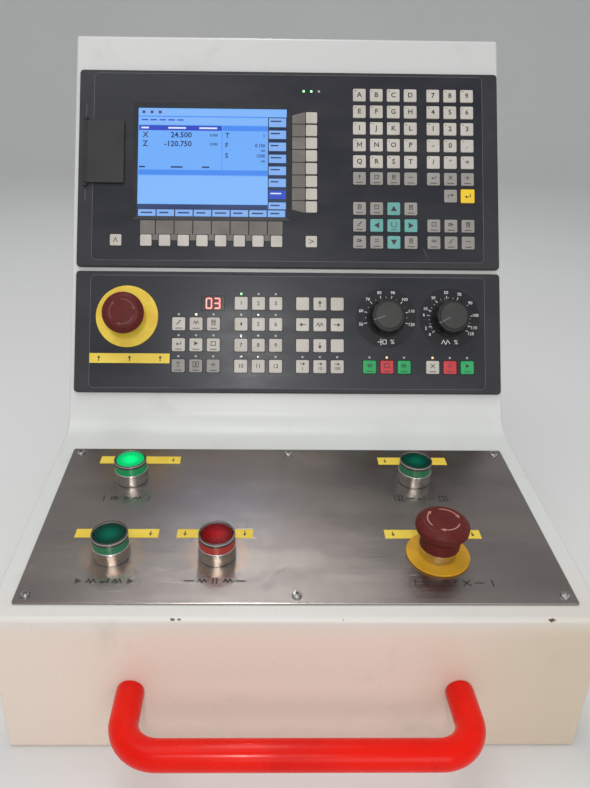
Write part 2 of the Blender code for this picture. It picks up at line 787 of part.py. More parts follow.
def along_y(bm, at):
    """Lays a solid turned about Z along the face's Y, through a point."""
    bmesh.ops.rotate(bm, verts=bm.verts, cent=(0, 0, 0), matrix=Matrix.Rotation(-math.pi / 2, 3, "X"))
    bmesh.ops.translate(bm, verts=bm.verts, vec=at)
    return bm


def add_flap_ears(made, parent):
    """Two ears with pins that the flap's barrel turns on."""
    x, y, z = flap_axis()
    for side, name in ((-1, "lower"), (1, "upper")):
        edge = y + side * (FLAP[1] / 2 + GAP)
        outer = edge + side * FLAP_EAR
        ear = rectangle(FLAP_BARREL, abs(outer - edge), 0.0, (x, (edge + outer) / 2))
        tool = slab(ear, -BEZEL_THICKNESS / 2, z + FLAP_BARREL / 2, 0.0006)
        boolean(made, f"ear_{name}", tool, "UNION", parent)
        pin = rod(FLAP_PIN, -FLAP_EAR / 2, FLAP_EAR / 2, 12)
        boolean(made, f"pin_{name}", along_y(pin, (x, edge, z)), "UNION", parent)


def port_flap(parent, look):
    """Flap over the well: a plate and its barrel in one section, bored for the pins."""
    x, y, z = flap_axis()
    radius = FLAP_BARREL / 2
    half = FLAP_THICKNESS / 2
    start = math.asin(half / radius)
    steps = 10
    sweep = [start + (math.tau - 2 * start) * i / steps for i in range(steps + 1)]
    points = [(radius * math.cos(a), radius * math.sin(a)) for a in sweep]
    points += [(FLAP[0] - radius, -half), (FLAP[0] - radius, half)]
    bm = loft([(points, -FLAP[1] / 2), (points, FLAP[1] / 2)])
    bmesh.ops.rotate(bm, verts=bm.verts, cent=(0, 0, 0), matrix=Matrix.Rotation(math.pi / 2, 3, "X"))
    made = add("port_flap", bm, look, parent, at=(x, y, z), smooth=35)
    for side, name in ((-1, "lower"), (1, "upper")):
        bore = rod(FLAP_PIN + 2 * GAP, -2 * FLAP_EAR, 2 * FLAP_EAR, 12)
        at = (x, y + side * FLAP[1] / 2, z)
        boolean(made, f"bore_{name}", along_y(bore, at), parent=parent)
    return made


def service_port(parent, look):
    """Metal socket standing on the floor of the well."""
    wide, tall, height = PORT
    low = -WELL_DEPTH + GAP
    bm = slab(rectangle(wide, tall, 0.0, FLAP_AT), low, low + height)
    made = add("service_port", bm, look, parent)
    mouth = rectangle(wide - 2 * PORT_WALL, tall - 2 * PORT_WALL, 0.0, FLAP_AT)
    boolean(made, "cut_port", slab(mouth, low + height - PORT_DEPTH, low + 2 * height), parent=parent)
    return made


def screen(parent, looks):
    wide, tall = SCREEN_VIEW[0] + 2 * GLASS_LAP - 2 * GAP, SCREEN_VIEW[1] + 2 * GLASS_LAP - 2 * GAP
    low = -BEZEL_THICKNESS
    glass = slab(rectangle(wide, tall, 0.0, SCREEN_AT), low, low + GLASS_THICKNESS)
    add("screen_glass", glass, looks["glass"], parent)
    top = low - GAP
    module = slab(rectangle(wide + 0.006, tall + 0.006, 0.001, SCREEN_AT), top - MODULE_THICKNESS, top)
    add("screen_module", module, looks["board"], parent)


def display_board_outline():
    """L-shaped board behind the keyboard and the row of keys under the screen."""
    half_w = BEZEL_WIDTH / 2 - HOUSING_MARGIN - 2 * HOUSING_WALL
    half_h = DISPLAY_HEIGHT / 2 - HOUSING_MARGIN - 2 * HOUSING_WALL
    step_y = FOOT_KEY_Y + SOFTKEY
    step_x = SIDE_SOFTKEYS_X - SOFTKEY
    return [
        (-half_w, -half_h),
        (half_w, -half_h),
        (half_w, half_h),
        (step_x, half_h),
        (step_x, step_y),
        (-half_w, step_y),
    ]


def display_unit(parent, looks):
    display_bezel(parent, looks["panel"])
    housing("display_housing", parent, DISPLAY_HEIGHT, DISPLAY_DEPTH, looks["housing"])
    screen(parent, looks)
    board("display_board", parent, display_board_outline(), looks["board"])
    port_flap(parent, looks["panel"])
    service_port(parent, looks["steel"])
    columns = letter_columns() + number_columns()
    rows = alphanumeric_rows()
    key_mat("alphanumeric_keys", parent, columns, rows, looks["ivory"])
    key_mat("function_keys", parent, columns, function_rows(), looks["grey"], function_key_there)
    key_mat("side_softkeys", parent, [SIDE_SOFTKEYS_X], softkey_rows(), looks["grey"], size=SOFTKEY)
    key_mat("bottom_softkeys", parent, softkey_columns(), [FOOT_KEY_Y], looks["ivory"], size=SOFTKEY)
    single_key("back_key", parent, (BACK_KEY_X, FOOT_KEY_Y), looks["ivory"], SOFTKEY)
    single_key("forward_key", parent, (SIDE_SOFTKEYS_X, FOOT_KEY_Y), looks["ivory"], SOFTKEY)
    single_key("tab_key", parent, (number_columns()[1], edit_key_y()), looks["grey"])
    single_key("input_key", parent, (number_columns()[2], edit_key_y()), looks["yellow"], INPUT_KEY)


def control_rows():
    return [CONTROL_FOOT_Y + CONTROL_ROW_PITCH * i for i in range(CONTROL_ROWS)]


def group(first):
    return [first + COLUMN_PITCH * i for i in range(GROUP_COLUMNS)]


def panel_key_there(column, row):
    """The mode keys leave their top row to the tool window."""
    return column >= GROUP_COLUMNS or row < CONTROL_ROWS - 1


def panel_columns():
    return group(MODE_X) + group(USER_X) + group(AXIS_X)


def control_openings():
    found = []
    for row, y in enumerate(control_rows()):
        for column, x in enumerate(panel_columns()):
            if panel_key_there(column, row):
                found.append(((x, y), key_opening()))
    for first in COLOUR_KEY_X:
        found += [((x, CONTROL_FOOT_Y), key_opening()) for x in group(first)]
    found.append((WINDOW_AT, (WINDOW[0] + 2 * GAP, WINDOW[1] + 2 * GAP)))
    return found


def control_board_outline():
    """L-shaped board behind the key groups, clear of the stop and the switches."""
    half_h = CONTROL_HEIGHT / 2 - HOUSING_MARGIN - 2 * HOUSING_WALL
    left = MODE_X - KEY
    step_x = AXIS_X + COLUMN_PITCH * (GROUP_COLUMNS - 1) + KEY
    right = BEZEL_WIDTH / 2 - HOUSING_MARGIN - 2 * HOUSING_WALL
    step_y = DIAL_Y - SWITCH[1] / 2 - 0.004
    return [
        (left, -half_h),
        (right, -half_h),
        (right, step_y),
        (step_x, step_y),
        (step_x, half_h),
        (left, half_h),
    ]


def control_unit(parent, looks):
    made = bezel("control_bezel", parent, CONTROL_HEIGHT, control_openings(), looks["panel"])
    holes = rod(MOUNTING_HOLE, -2 * BEZEL_THICKNESS, BEZEL_THICKNESS, at=STOP_AT)
    for x in DIAL_X:
        rod(SHAFT + 4 * GAP, -2 * BEZEL_THICKNESS, BEZEL_THICKNESS, SMALL, holes, (x, DIAL_Y))
    boolean(made, "cut_round", holes, parent=parent)
    housing("control_housing", parent, CONTROL_HEIGHT, CONTROL_DEPTH, looks["housing"])
    board("control_board", parent, control_board_outline(), looks["board"])
    key_mat("panel_keys", parent, panel_columns(), control_rows(), looks["ivory"], panel_key_there)
    window = slab(rectangle(*WINDOW, centre=WINDOW_AT), mat_top() + GAP, 0.0)
    add("tool_window", window, looks["window"], parent)
    names = ("spindle_left_key", "spindle_stop_key", "spindle_right_key")
    colours = ("green", "red", "green")
    for x, name, colour in zip(group(COLOUR_KEY_X[0]), names, colours):
        single_key(name, parent, (x, CONTROL_FOOT_Y), looks[colour])
    names = ("reset_key", "feed_stop_key", "feed_start_key")
    colours = ("ivory", "red", "green")
    for x, name, colour in zip(group(COLOUR_KEY_X[1]), names, colours):
        single_key(name, parent, (x, CONTROL_FOOT_Y), looks[colour])
    for x, name in zip(DIAL_X, ("spindle", "feed")):
        override(name, parent, (x, DIAL_Y), looks)


def fluted(radius, depth):
    """Outline of a grip with shallow flutes."""
    count = KNOB_FLUTES * 3
    points = []
    for i in range(count):
        angle = math.tau * i / count
        dip = depth * (1 - math.cos(angle * KNOB_FLUTES)) / 2
        points.append(((radius - dip) * math.cos(angle), (radius - dip) * math.sin(angle)))
    return points


def override(name, parent, at, looks):
    """Override knob on its shaft, and the switch behind the bezel."""
    stages = [
        (KNOB_SKIRT, 0.0, GAP),
        (KNOB_SKIRT, 0.0, 0.0018),
        (KNOB_RADIUS + 0.0004, KNOB_FLUTE_DEPTH, 0.0040),
        (KNOB_RADIUS, KNOB_FLUTE_DEPTH, KNOB_HEIGHT - 0.0012),
        (KNOB_RADIUS - 0.0010, 0.0, KNOB_HEIGHT),
    ]
    bm = loft([(fluted(radius, depth), height) for radius, depth, height in stages])
    knob = add(f"{name}_knob", bm, looks["knob"], parent, at=(*at, 0.0), smooth=40)
    wide, tall, depth = SWITCH
    top = mat_top()
    shaft = rod(SHAFT, top - depth + GAP, KNOB_HEIGHT / 2, SMALL)
    boolean(knob, f"{name}_shaft", shaft, "UNION", parent, (*at, 0.0))
    body = slab(rectangle(wide, tall, 0.002), top - depth, top)
    switch = add(f"{name}_switch", body, looks["housing"], parent, at=(*at, 0.0))
    bore = rod(SHAFT + 4 * GAP, top - 2 * depth, top + depth, SMALL)
    boolean(switch, f"cut_{name}_switch", bore, parent=parent, at=(*at, 0.0))


def contact_block(name, parent, at, grip, look):
    """Contact block snapped to a barrel, from the back of the panel it clamps."""
    wide, tall, depth = CONTACT
    top = -grip - GAP
    end = -BARREL_LENGTH - grip
    made = add(name, slab(rectangle(wide, tall, 0.002), end - depth, top), look, parent, at=at)
    bore = rod(BARREL + 2 * GAP, end - GAP - 0.0005, top + grip)
    boolean(made, f"cut_{name}", bore, parent=parent, at=at)
    return made


def pushbutton(name, parent, place, grip, looks, colour):
    """Lit pushbutton: metal bezel with a raised guard, moving lens and contact block."""
    at = (*place, 2 * GAP + PLATE_THICKNESS)
    outer, bore, barrel = BUTTON_DIAMETER / 2, BUTTON_BORE / 2, BARREL / 2
    stem_bore = STEM / 2 + RUNNING_CLEARANCE
    step = 0.0115
    shoulder = 0.0070
    profile = [
        (barrel, -BARREL_LENGTH - grip),
        (barrel, 0.0),
        (outer, 0.0),
        (outer, step),
        (outer - 0.0004, step + 0.0004),
        (outer - 0.0004, BUTTON_HEIGHT - 0.0006),
        (outer - 0.0010, BUTTON_HEIGHT),
        (bore, BUTTON_HEIGHT),
        (bore, shoulder),
        (stem_bore, shoulder),
        (stem_bore, -BARREL_LENGTH - grip),
    ]
    add(f"{name}_bezel", turned(profile), looks["chrome"], parent, at=at, smooth=30)
    lens = BUTTON_BORE / 2 - RUNNING_CLEARANCE
    top = BUTTON_HEIGHT - 0.0006
    foot = shoulder + BUTTON_TRAVEL + RUNNING_CLEARANCE
    stem_foot = -BARREL_LENGTH - grip + BUTTON_TRAVEL + RUNNING_CLEARANCE
    profile = [
        (0.0, stem_foot),
        (STEM / 2, stem_foot),
        (STEM / 2, foot),
        (lens, foot),
        (lens, top - 0.0006),
        (lens - 0.0008, top),
        (0.0, top + 0.0003),
    ]
    add(f"{name}_lens", turned(profile), looks[colour], parent, at=at, smooth=30)
    contact_block(f"{name}_contact", parent, at, grip, looks["housing"])


def stop_head_profile(height, skirt_foot):
    """Mushroom head with a skirt that slides down over the collar."""
    rim = STOP_HEAD / 2
    neck = STOP_NECK / 2
    socket = STEM / 2 + RUNNING_CLEARANCE
    ceiling = height - 0.0145
    boss_foot = ceiling - 0.0025
    return [
        (0.0, height - 0.0080),
        (socket, height - 0.0080),
        (socket, boss_foot),
        (socket + 0.0020, boss_foot),
        (socket + 0.0020, ceiling),
        (neck - 0.0008, ceiling),
        (neck - 0.0008, skirt_foot),
        (neck, skirt_foot),
        (neck + 0.0004, height - 0.0150),
        (rim - 0.0020, height - 0.0095),
        (rim - 0.0004, height - 0.0078),
        (rim, height - 0.0058),
        (rim - 0.0004, height - 0.0038),
        (rim - 0.0022, height - 0.0019),
        (rim - 0.0060, height - 0.0008),
        (rim / 2, height - 0.0002),
        (0.0, height),
    ]


def emergency_stop(name, parent, place, lift, grip, height, disc, looks):
    """Emergency stop: disc, collar, plunger that latches in, head that twists on it, contacts."""
    at = (*place, lift)
    ring = [
        (MOUNTING_HOLE / 2, 0.0),
        (disc / 2, 0.0),
        (disc / 2 - 0.0003, STOP_DISC_THICKNESS),
        (MOUNTING_HOLE / 2, STOP_DISC_THICKNESS),
    ]
    add(f"{name}_disc", turned(ring), looks["yellow"], parent, at=at, smooth=30)
    base = STOP_DISC_THICKNESS + GAP
    foot = -BARREL_LENGTH - grip
    bore = STEM / 2 + RUNNING_CLEARANCE
    ceiling = height - 0.0145
    collar_top = ceiling - 0.0025 - STOP_TRAVEL - 2 * GAP
    collar = STOP_COLLAR / 2
    profile = [
        (BARREL / 2, foot),
        (BARREL / 2, base),
        (collar, base),
        (collar, collar_top - 0.0005),
        (collar - 0.0005, collar_top),
        (bore, collar_top),
        (bore, foot),
    ]
    add(f"{name}_collar", turned(profile), looks["chrome"], parent, at=at, smooth=30)
    stem_foot = foot + STOP_TRAVEL + RUNNING_CLEARANCE
    plunger = rod(STEM, stem_foot, height - 0.0080 - GAP, ROUND)
    add(f"{name}_plunger", plunger, looks["housing"], parent, at=at, smooth=30)
    skirt_foot = max(collar_top - 0.0012, base + STOP_TRAVEL + 2 * GAP)
    head = turned(stop_head_profile(height, skirt_foot))
    add(f"{name}_head", head, looks["red"], parent, at=at, smooth=40)
    contact_block(f"{name}_contact", parent, at, grip, looks["housing"])


def handle_screws(apron, look):
    """Screws from inside the apron into the handle's legs."""
    for name, x in (("left", -HANDLE_CENTRES / 2), ("right", HANDLE_CENTRES / 2)):
        head = SCREW_HEAD / 2
        under = -SHEET - GAP
        profile = [
            (0.0, under - SCREW_HEAD_HEIGHT),
            (head - 0.0005, under - SCREW_HEAD_HEIGHT),
            (head, under - SCREW_HEAD_HEIGHT + 0.0005),
            (head, under),
            (SCREW / 2, under),
            (SCREW / 2, -GAP),
            (0.0, -GAP),
        ]
        at = (x, -HANDLE_DROP, 0.0)
        add(f"handle_screw_{name}", turned(profile, SMALL), look, apron, at=at, smooth=30)


def looks():
    return {
        "paint": material("enclosure_paint", (0.62, 0.60, 0.55), 0.55),
        "plate": material("brushed_stainless", (0.52, 0.50, 0.47), 0.35, 1.0),
        "steel": material("zinc_plated_steel", (0.55, 0.55, 0.55), 0.4, 1.0),
        "chrome": material("satin_chrome", (0.66, 0.65, 0.63), 0.25, 1.0),
        "handle": material("red_powder_coat", (0.80, 0.045, 0.015), 0.32),
        "panel": material("anthracite_plastic", (0.042, 0.043, 0.048), 0.5),
        "housing": material("black_plastic", (0.02, 0.02, 0.022), 0.55),
        "knob": material("knob_plastic", (0.03, 0.032, 0.034), 0.45),
        "glass": material("screen_glass_coat", (0.25, 0.38, 0.60), 0.15),
        "board": material("circuit_board", (0.02, 0.12, 0.05), 0.5),
        "rubber": material("black_rubber", (0.015, 0.015, 0.015), 0.7),
        "window": material("display_window", (0.10, 0.01, 0.01), 0.2),
        "ivory": material("ivory_keys", (0.55, 0.53, 0.46), 0.5),
        "grey": material("grey_keys", (0.36, 0.35, 0.32), 0.5),
        "yellow": material("yellow_plastic", (0.85, 0.58, 0.04), 0.45),
        "green": material("green_plastic", (0.02, 0.30, 0.12), 0.35),
        "red": material("red_plastic", (0.30, 0.045, 0.035), 0.4),
        "lit": material("lit_green_lens", (0.0, 0.62, 0.25), 0.3),
    }


def main():
    clear_scene()
    look = looks()
    box = Enclosure()
    neck = (0.0, *box.neck)
    upright = frame("upright_face", neck, math.pi / 2 - UPRIGHT_LEAN)
    desk = frame("desk_face", neck, DESK_SLOPE)
    apron = frame("apron_face", (0.0, *box.fold), math.pi / 2)
    rear = frame("rear_face", (0.0, box.corners[1][0], 0.0), math.pi / 2, heading=math.pi)
    front = GAP + BEZEL_THICKNESS
    display_y = UPRIGHT_LENGTH - HEAD_MARGIN - DISPLAY_HEIGHT / 2
    control_y = display_y - DISPLAY_HEIGHT / 2 - UNIT_GAP - CONTROL_HEIGHT / 2
    display = frame("display_face", (BEZEL_OFFSET, display_y, front), 0.0, upright)
    control = frame("control_face", (BEZEL_OFFSET, control_y, front), 0.0, upright)
    faces = {"upright": upright, "desk": desk, "apron": apron, "rear": rear}
    faces |= {"display": display, "control": control}

    enclosure_body(box, faces, look["paint"])
    foot_plate(box, look["steel"])
    rear_cover(box, upright, look["paint"])
    cable_entry(rear, look["rubber"])
    desk_plate(desk, look["plate"])
    handle(apron, look["handle"])
    handle_screws(apron, look["steel"])
    display_unit(display, look)
    control_unit(control, look)

    desk_grip = SHEET + 2 * GAP + PLATE_THICKNESS
    buttons = zip(("drive", "door", "start", "hold"), desk_places(), ("lit", "green", "green", "red"))
    for name, place, colour in buttons:
        pushbutton(f"{name}_button", desk, place, desk_grip, look, colour)
    lift = 2 * GAP + PLATE_THICKNESS
    emergency_stop(
        "desk_stop", desk, desk_places()[-1], lift, desk_grip, DESK_STOP_HEIGHT, DESK_STOP_DISC, look
    )
    emergency_stop(
        "panel_stop", control, STOP_AT, GAP, BEZEL_THICKNESS + GAP, CONTROL_STOP_HEIGHT, CONTROL_STOP_DISC, look
    )


main()
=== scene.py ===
"""Looks of a CNC lathe operator console: painted box, brushed plate, printed fronts, keys, lit buttons.

Metres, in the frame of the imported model. Each working face has a matrix whose local Z is the
outward normal and whose local Y runs up the face: a piece is drawn flat on it, then put in place."""

import math

import bmesh
import bpy
from mathutils import Matrix, Vector


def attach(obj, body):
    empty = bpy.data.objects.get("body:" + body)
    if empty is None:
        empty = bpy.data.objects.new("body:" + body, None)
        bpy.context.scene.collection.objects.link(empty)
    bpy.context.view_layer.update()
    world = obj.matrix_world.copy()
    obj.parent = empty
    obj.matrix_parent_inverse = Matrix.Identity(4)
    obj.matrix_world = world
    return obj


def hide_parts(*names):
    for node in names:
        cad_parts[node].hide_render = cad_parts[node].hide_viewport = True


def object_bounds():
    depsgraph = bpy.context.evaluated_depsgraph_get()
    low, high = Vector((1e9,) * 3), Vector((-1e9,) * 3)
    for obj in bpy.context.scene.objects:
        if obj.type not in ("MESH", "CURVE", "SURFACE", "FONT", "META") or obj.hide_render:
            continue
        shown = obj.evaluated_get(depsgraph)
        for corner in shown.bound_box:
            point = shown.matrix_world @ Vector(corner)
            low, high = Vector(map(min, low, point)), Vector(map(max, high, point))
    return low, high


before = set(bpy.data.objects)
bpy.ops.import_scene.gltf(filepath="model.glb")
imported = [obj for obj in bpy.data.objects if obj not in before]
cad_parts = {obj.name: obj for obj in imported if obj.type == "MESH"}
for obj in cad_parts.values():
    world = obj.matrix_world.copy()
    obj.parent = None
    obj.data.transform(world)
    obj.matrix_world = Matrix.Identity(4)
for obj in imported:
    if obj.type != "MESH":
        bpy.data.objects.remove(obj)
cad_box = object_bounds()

# Enclosure, seen from the side
WIDTH = 0.428
DESK_LENGTH = 0.2425
DESK_SLOPE = math.radians(5)
UPRIGHT_LENGTH = 0.398
UPRIGHT_LEAN = math.radians(28)
UPRIGHT_PITCH = math.pi / 2 - UPRIGHT_LEAN
UPRIGHT_DEPTH = 0.110
BASE_REACH = 0.110
SHEET = 0.002
NECK_RADIUS = 0.030
KINK_RADIUS = 0.008
FOLD_RADIUS = 0.004
SIDE_EDGE_RADIUS = 0.0025
GAP = 0.0003
NECK = Vector((0.0, 0.0112189, 0.1461353))
FOLD = NECK - DESK_LENGTH * Vector((0.0, math.cos(DESK_SLOPE), math.sin(DESK_SLOPE)))

# Its openings: where the rear one starts and ends up the upright, the foot's bolts, the cable entry
REAR_OPENING = (0.0974259, 0.376)
REAR_MARGIN = 0.018
FOOT_CENTRE = (FOLD.y + NECK.y + BASE_REACH) / 2
FOOT_BOLT = 0.065
CABLE_ENTRY_AT = (-0.140, 0.045)
BUTTON_HOLE, HANDLE_HOLE, BOLT_HOLE, CABLE_HOLE = 0.0225, 0.0086, 0.009, 0.028

# Units in the upright, with places from the middle of each
UNIT_SHIFT, UNIT_PROUD = 0.0014, 0.005
DISPLAY_RISE, DISPLAY_HEIGHT = 0.259, 0.200
CONTROL_RISE, CONTROL_HEIGHT = 0.0945, 0.120
CUTOUT_WIDTH, CUTOUT_MARGIN = 0.406, 0.007
BEZEL_THICKNESS = 0.0047
FOIL_X = (-0.1953, 0.1944)
PRINT_GAP, FOIL_THICKNESS, FOIL_TOP, TAPE_THICKNESS = 0.00002, 0.00011, 0.00014, 0.00016
KEY, INPUT_KEY, SOFTKEY = 0.0130, 0.0140, 0.0115
KEY_PITCH = 0.0171
KEY_FOOT, KEY_RISE = -0.0060, 0.0010
KEY_INK = KEY_RISE + 0.0001
LETTER_SIZE, POINTER_SIZE, SIGN_SIZE, KEY_SIGN_SIZE = 0.0070, 0.0078, 0.0058, 0.0062
STATUS_X, STATUS_Y, LIGHT_ABOVE_KEY = (0.0143, 0.0220, 0.0297), 0.0799, 0.0095


def row(first, count=3, step=KEY_PITCH):
    return [first + step * i for i in range(count)]


def grid(columns, rows):
    return [(x, y) for y in rows for x in columns]


LETTER_X, NUMBER_X = row(0.0704, 4), row(0.1446)
COLUMNS = LETTER_X + NUMBER_X
*KEY_ROWS, SIGN_Y, EDIT_Y = row(0.0766, 7, -KEY_PITCH)
FUNCTION_Y = (-0.0395, -0.0565, -0.0735)
FOOT_KEY_Y = FUNCTION_Y[2]
SCREEN_AT = (-0.0770, 0.0070)
SCREEN_VIEW = (0.149, 0.111)
SCREEN_SLAB = (0.1524, 0.1144)
SCREEN_FRONT = -0.0035
SOFT_X, BACK_KEY_X, HINGE_X = 0.0223, -0.1716, -0.2026
SOFT_ROWS = [SCREEN_AT[1] + 0.0130 * (3.5 - i) for i in range(8)]
SOFT_COLUMNS = [SCREEN_AT[0] + 0.0185 * (i - 3.5) for i in range(8)]
MODE_X, USER_X, AXIS_X, SPINDLE_X, FEED_X = map(row, (-0.1082, -0.0469, 0.0138, 0.0799, 0.1423))
CONTROL_FOOT_Y = -0.0337
CONTROL_ROWS = [CONTROL_FOOT_Y + 0.02075 * (3 - i) for i in range(4)]
DIALS = {"spindle": (0.0966, 0.0153), "feed": (0.1596, 0.0153)}
STOP_AT = (-0.1589, 0.0147)
WINDOW_AT = (-0.0747, 0.0284)

# Desk
PLATE_TOP = 0.0018
LIFT = 0.0021
DRIVE_ROW, START_ROW = -0.0845, -0.1800
BUTTONS = {
    "drive": (-0.1380, DRIVE_ROW),
    "door": (0.1090, DRIVE_ROW),
    "start": (-0.1380, START_ROW),
    "hold": (-0.0583, START_ROW),
}
DESK_STOP_AT = (0.1093, START_ROW)
DESK_GRIP = SHEET + LIFT
HANDLE_DROP = 0.0655
HANDLE_HALF = 0.1186
HANDLE_STANDOFF = 0.053
HANDLE_BEND = 0.026
HANDLE_RADIUS = 0.01025


def face(origin, pitch):
    return Matrix.Translation(origin) @ Matrix.Rotation(pitch, 4, "X")


def shifted(matrix, *place):
    return matrix @ Matrix.Translation(place)


def spun(degrees, x, y=0.0):
    """A point turned about the origin of its face."""
    return Matrix.Rotation(math.radians(degrees), 2) @ Vector((x, y))


DESK = face(NECK, DESK_SLOPE)
UPRIGHT = face(NECK, UPRIGHT_PITCH)
APRON = face(FOLD, math.pi / 2)
DISPLAY = shifted(UPRIGHT, UNIT_SHIFT, DISPLAY_RISE, UNIT_PROUD)
CONTROL = shifted(UPRIGHT, UNIT_SHIFT, CONTROL_RISE, UNIT_PROUD)
REAR = Matrix.Translation((0.0, NECK.y + BASE_REACH, 0.0)) @ Matrix.Rotation(math.pi, 4, "Z")
REAR = REAR @ Matrix.Rotation(math.pi / 2, 4, "X")

# Finishes


def tint(red, green, blue):
    """A colour as it looks, 0 to 255, in the linear values that a shader takes."""
    linear = []
    for value in (red / 255, green / 255, blue / 255):
        linear.append(value / 12.92 if value <= 0.04045 else ((value + 0.055) / 1.055) ** 2.4)
    return (*linear, 1.0)


class Amount:
    """A value that varies over a surface, with the arithmetic that masks are written in."""

    def __init__(self, finish, socket):
        self.finish = finish
        self.socket = socket

    def sum(self, operation, first, second):
        return self.finish.node("Math", {"operation": operation}, {0: first, 1: second})

    def __add__(self, other):
        return self.sum("ADD", self, other)

    def __mul__(self, other):
        return self.sum("MULTIPLY", self, other)

    def __sub__(self, other):
        return self.sum("SUBTRACT", self, other)

    def __rsub__(self, other):
        return self.sum("SUBTRACT", other, self)

    __radd__, __rmul__ = __add__, __mul__

    def between(self, low, high):
        """Eased from 0 to 1 as the value goes from low to high, and level outside."""
        sockets = {"Value": self, "From Min": low, "From Max": high}
        return self.finish.node("MapRange", {"interpolation_type": "SMOOTHSTEP"}, sockets)


class Finish:
    """A surface finish while it is being built: a Principled shader and what feeds it."""

    def __init__(self, name, slot=None, **constants):
        self.material = bpy.data.materials.new(name)
        self.material.use_nodes = True
        self.material["slot"] = slot or name
        self.tree = self.material.node_tree
        self.shader = self.tree.nodes["Principled BSDF"]
        for socket, value in constants.items():
            self.shader.inputs[socket.replace("_", " ")].default_value = value

    def node(self, kind, settings=None, sockets=None, output=0):
        """Adds a node: its settings first, then the values or links of its sockets."""
        made = self.tree.nodes.new(f"ShaderNode{kind}")
        for name, value in (settings or {}).items():
            setattr(made, name, value)
        for key, value in (sockets or {}).items():
            self.feed(made.inputs[key], value)
        return Amount(self, made.outputs[output])

    def feed(self, socket, value):
        if isinstance(value, Amount):
            self.tree.links.new(value.socket, socket)
        else:
            socket.default_value = value

    def at(self, size=(1.0, 1.0, 1.0), centre=(0.0, 0.0, 0.0), pitch=0.0):
        """Coordinates on the piece, from a centre, along a pitched face, in units of size."""
        place = self.node("TexCoord", output=3)
        sockets = {"Vector": place, "Location": centre, "Rotation": (pitch, 0.0, 0.0), "Scale": size}
        return self.node("Mapping", {"vector_type": "TEXTURE"}, sockets)

    def part(self, place, axis):
        return self.node("SeparateXYZ", sockets={0: place}, output="XYZ".index(axis))

    def length(self, vector):
        return self.node("VectorMath", {"operation": "LENGTH"}, {0: vector}, output=1)

    def noise(self, place, scale=1.0, detail=2.0, roughness=0.5):
        sockets = {"Vector": place, "Scale": scale, "Detail": detail, "Roughness": roughness}
        return self.node("TexNoise", sockets=sockets)

    def mix(self, amount, low, high):
        """Two colours mixed, each a result of the finish or a tint."""
        low, high = (side if isinstance(side, Amount) else tint(*side) for side in (low, high))
        return self.node("Mix", {"data_type": "RGBA"}, {0: amount, 6: low, 7: high}, output=2)

    def over(self, colour, *layers):
        """A colour under layers, each an amount and a tint."""
        for amount, tone in layers:
            colour = self.mix(amount, colour, tone)
        return colour

    def bump(self, height, distance, strength=1.0):
        sockets = {"Height": height, "Distance": distance, "Strength": strength}
        self.feed(self.shader.inputs["Normal"], self.node("Bump", sockets=sockets))

    def surface(self, colour, roughness=None, glow=None):
        targets = {"Base Color": colour, "Roughness": roughness, "Emission Color": glow}
        for socket, value in targets.items():
            if value is not None:
                self.feed(self.shader.inputs[socket], value)
        return self.material


def enclosure_paint():
    """Pale structured paint: fine orange peel, hand grime, a few chips on the front fold, painted warm light
    on the apron and painted shade towards the top.
    """
    f = Finish("enclosure_paint")
    place = f.at()
    cloudy = f.noise(place, 7.0, 4.0)
    grime = f.noise(place, 23.0, 6.0, 0.62).between(0.56, 0.80)
    specks = f.noise(place, 420.0, 1.0).between(0.76, 0.80)
    across, height = f.part(place, "X"), f.part(place, "Z")
    # Painted warm light on the apron, reflected from the floor and the red handle; further to the right it
    # turns darker and browner.
    warm = 1 - height.between(0.105, 0.135)
    colour = f.over(
        f.mix(cloudy, (212, 213, 209), (221, 222, 218)),
        (warm * 0.9, (230, 211, 195)),
        (warm * across.between(0.05, 0.20) * 0.7, (198, 182, 156)),
        # Painted shade: the paint turns darker towards the top of the upright.
        (height.between(0.28, 0.50) * 0.6, (200, 200, 198)),
        (grime * 0.30, (178, 170, 152)),
        (specks * 0.35, (120, 112, 100)),
    )
    ragged = f.noise(place, 900.0, 3.0) * 1.2
    chips = []
    for x, reach in ((-0.0859, 0.0014), (-0.0812, 0.0012), (0.1753, 0.0019), (0.0312, 0.0008)):
        away = f.length(f.at((reach * 1.7, reach, reach), (x, FOLD.y + 0.0008, FOLD.z - 0.0006)))
        chips.append(1 - (away + ragged).between(1.2, 1.5))
    chipped = sum(chips[1:], chips[0])
    colour = f.mix(chipped, colour, (88, 62, 44))
    peel = f.noise(place, 950.0, 2.0) + f.noise(place, 260.0, 2.0) * 0.8 - chipped * 0.9
    f.bump(peel, 0.00004, 0.55)
    return f.surface(colour, 0.30 + grime * 0.16 + cloudy * 0.08)


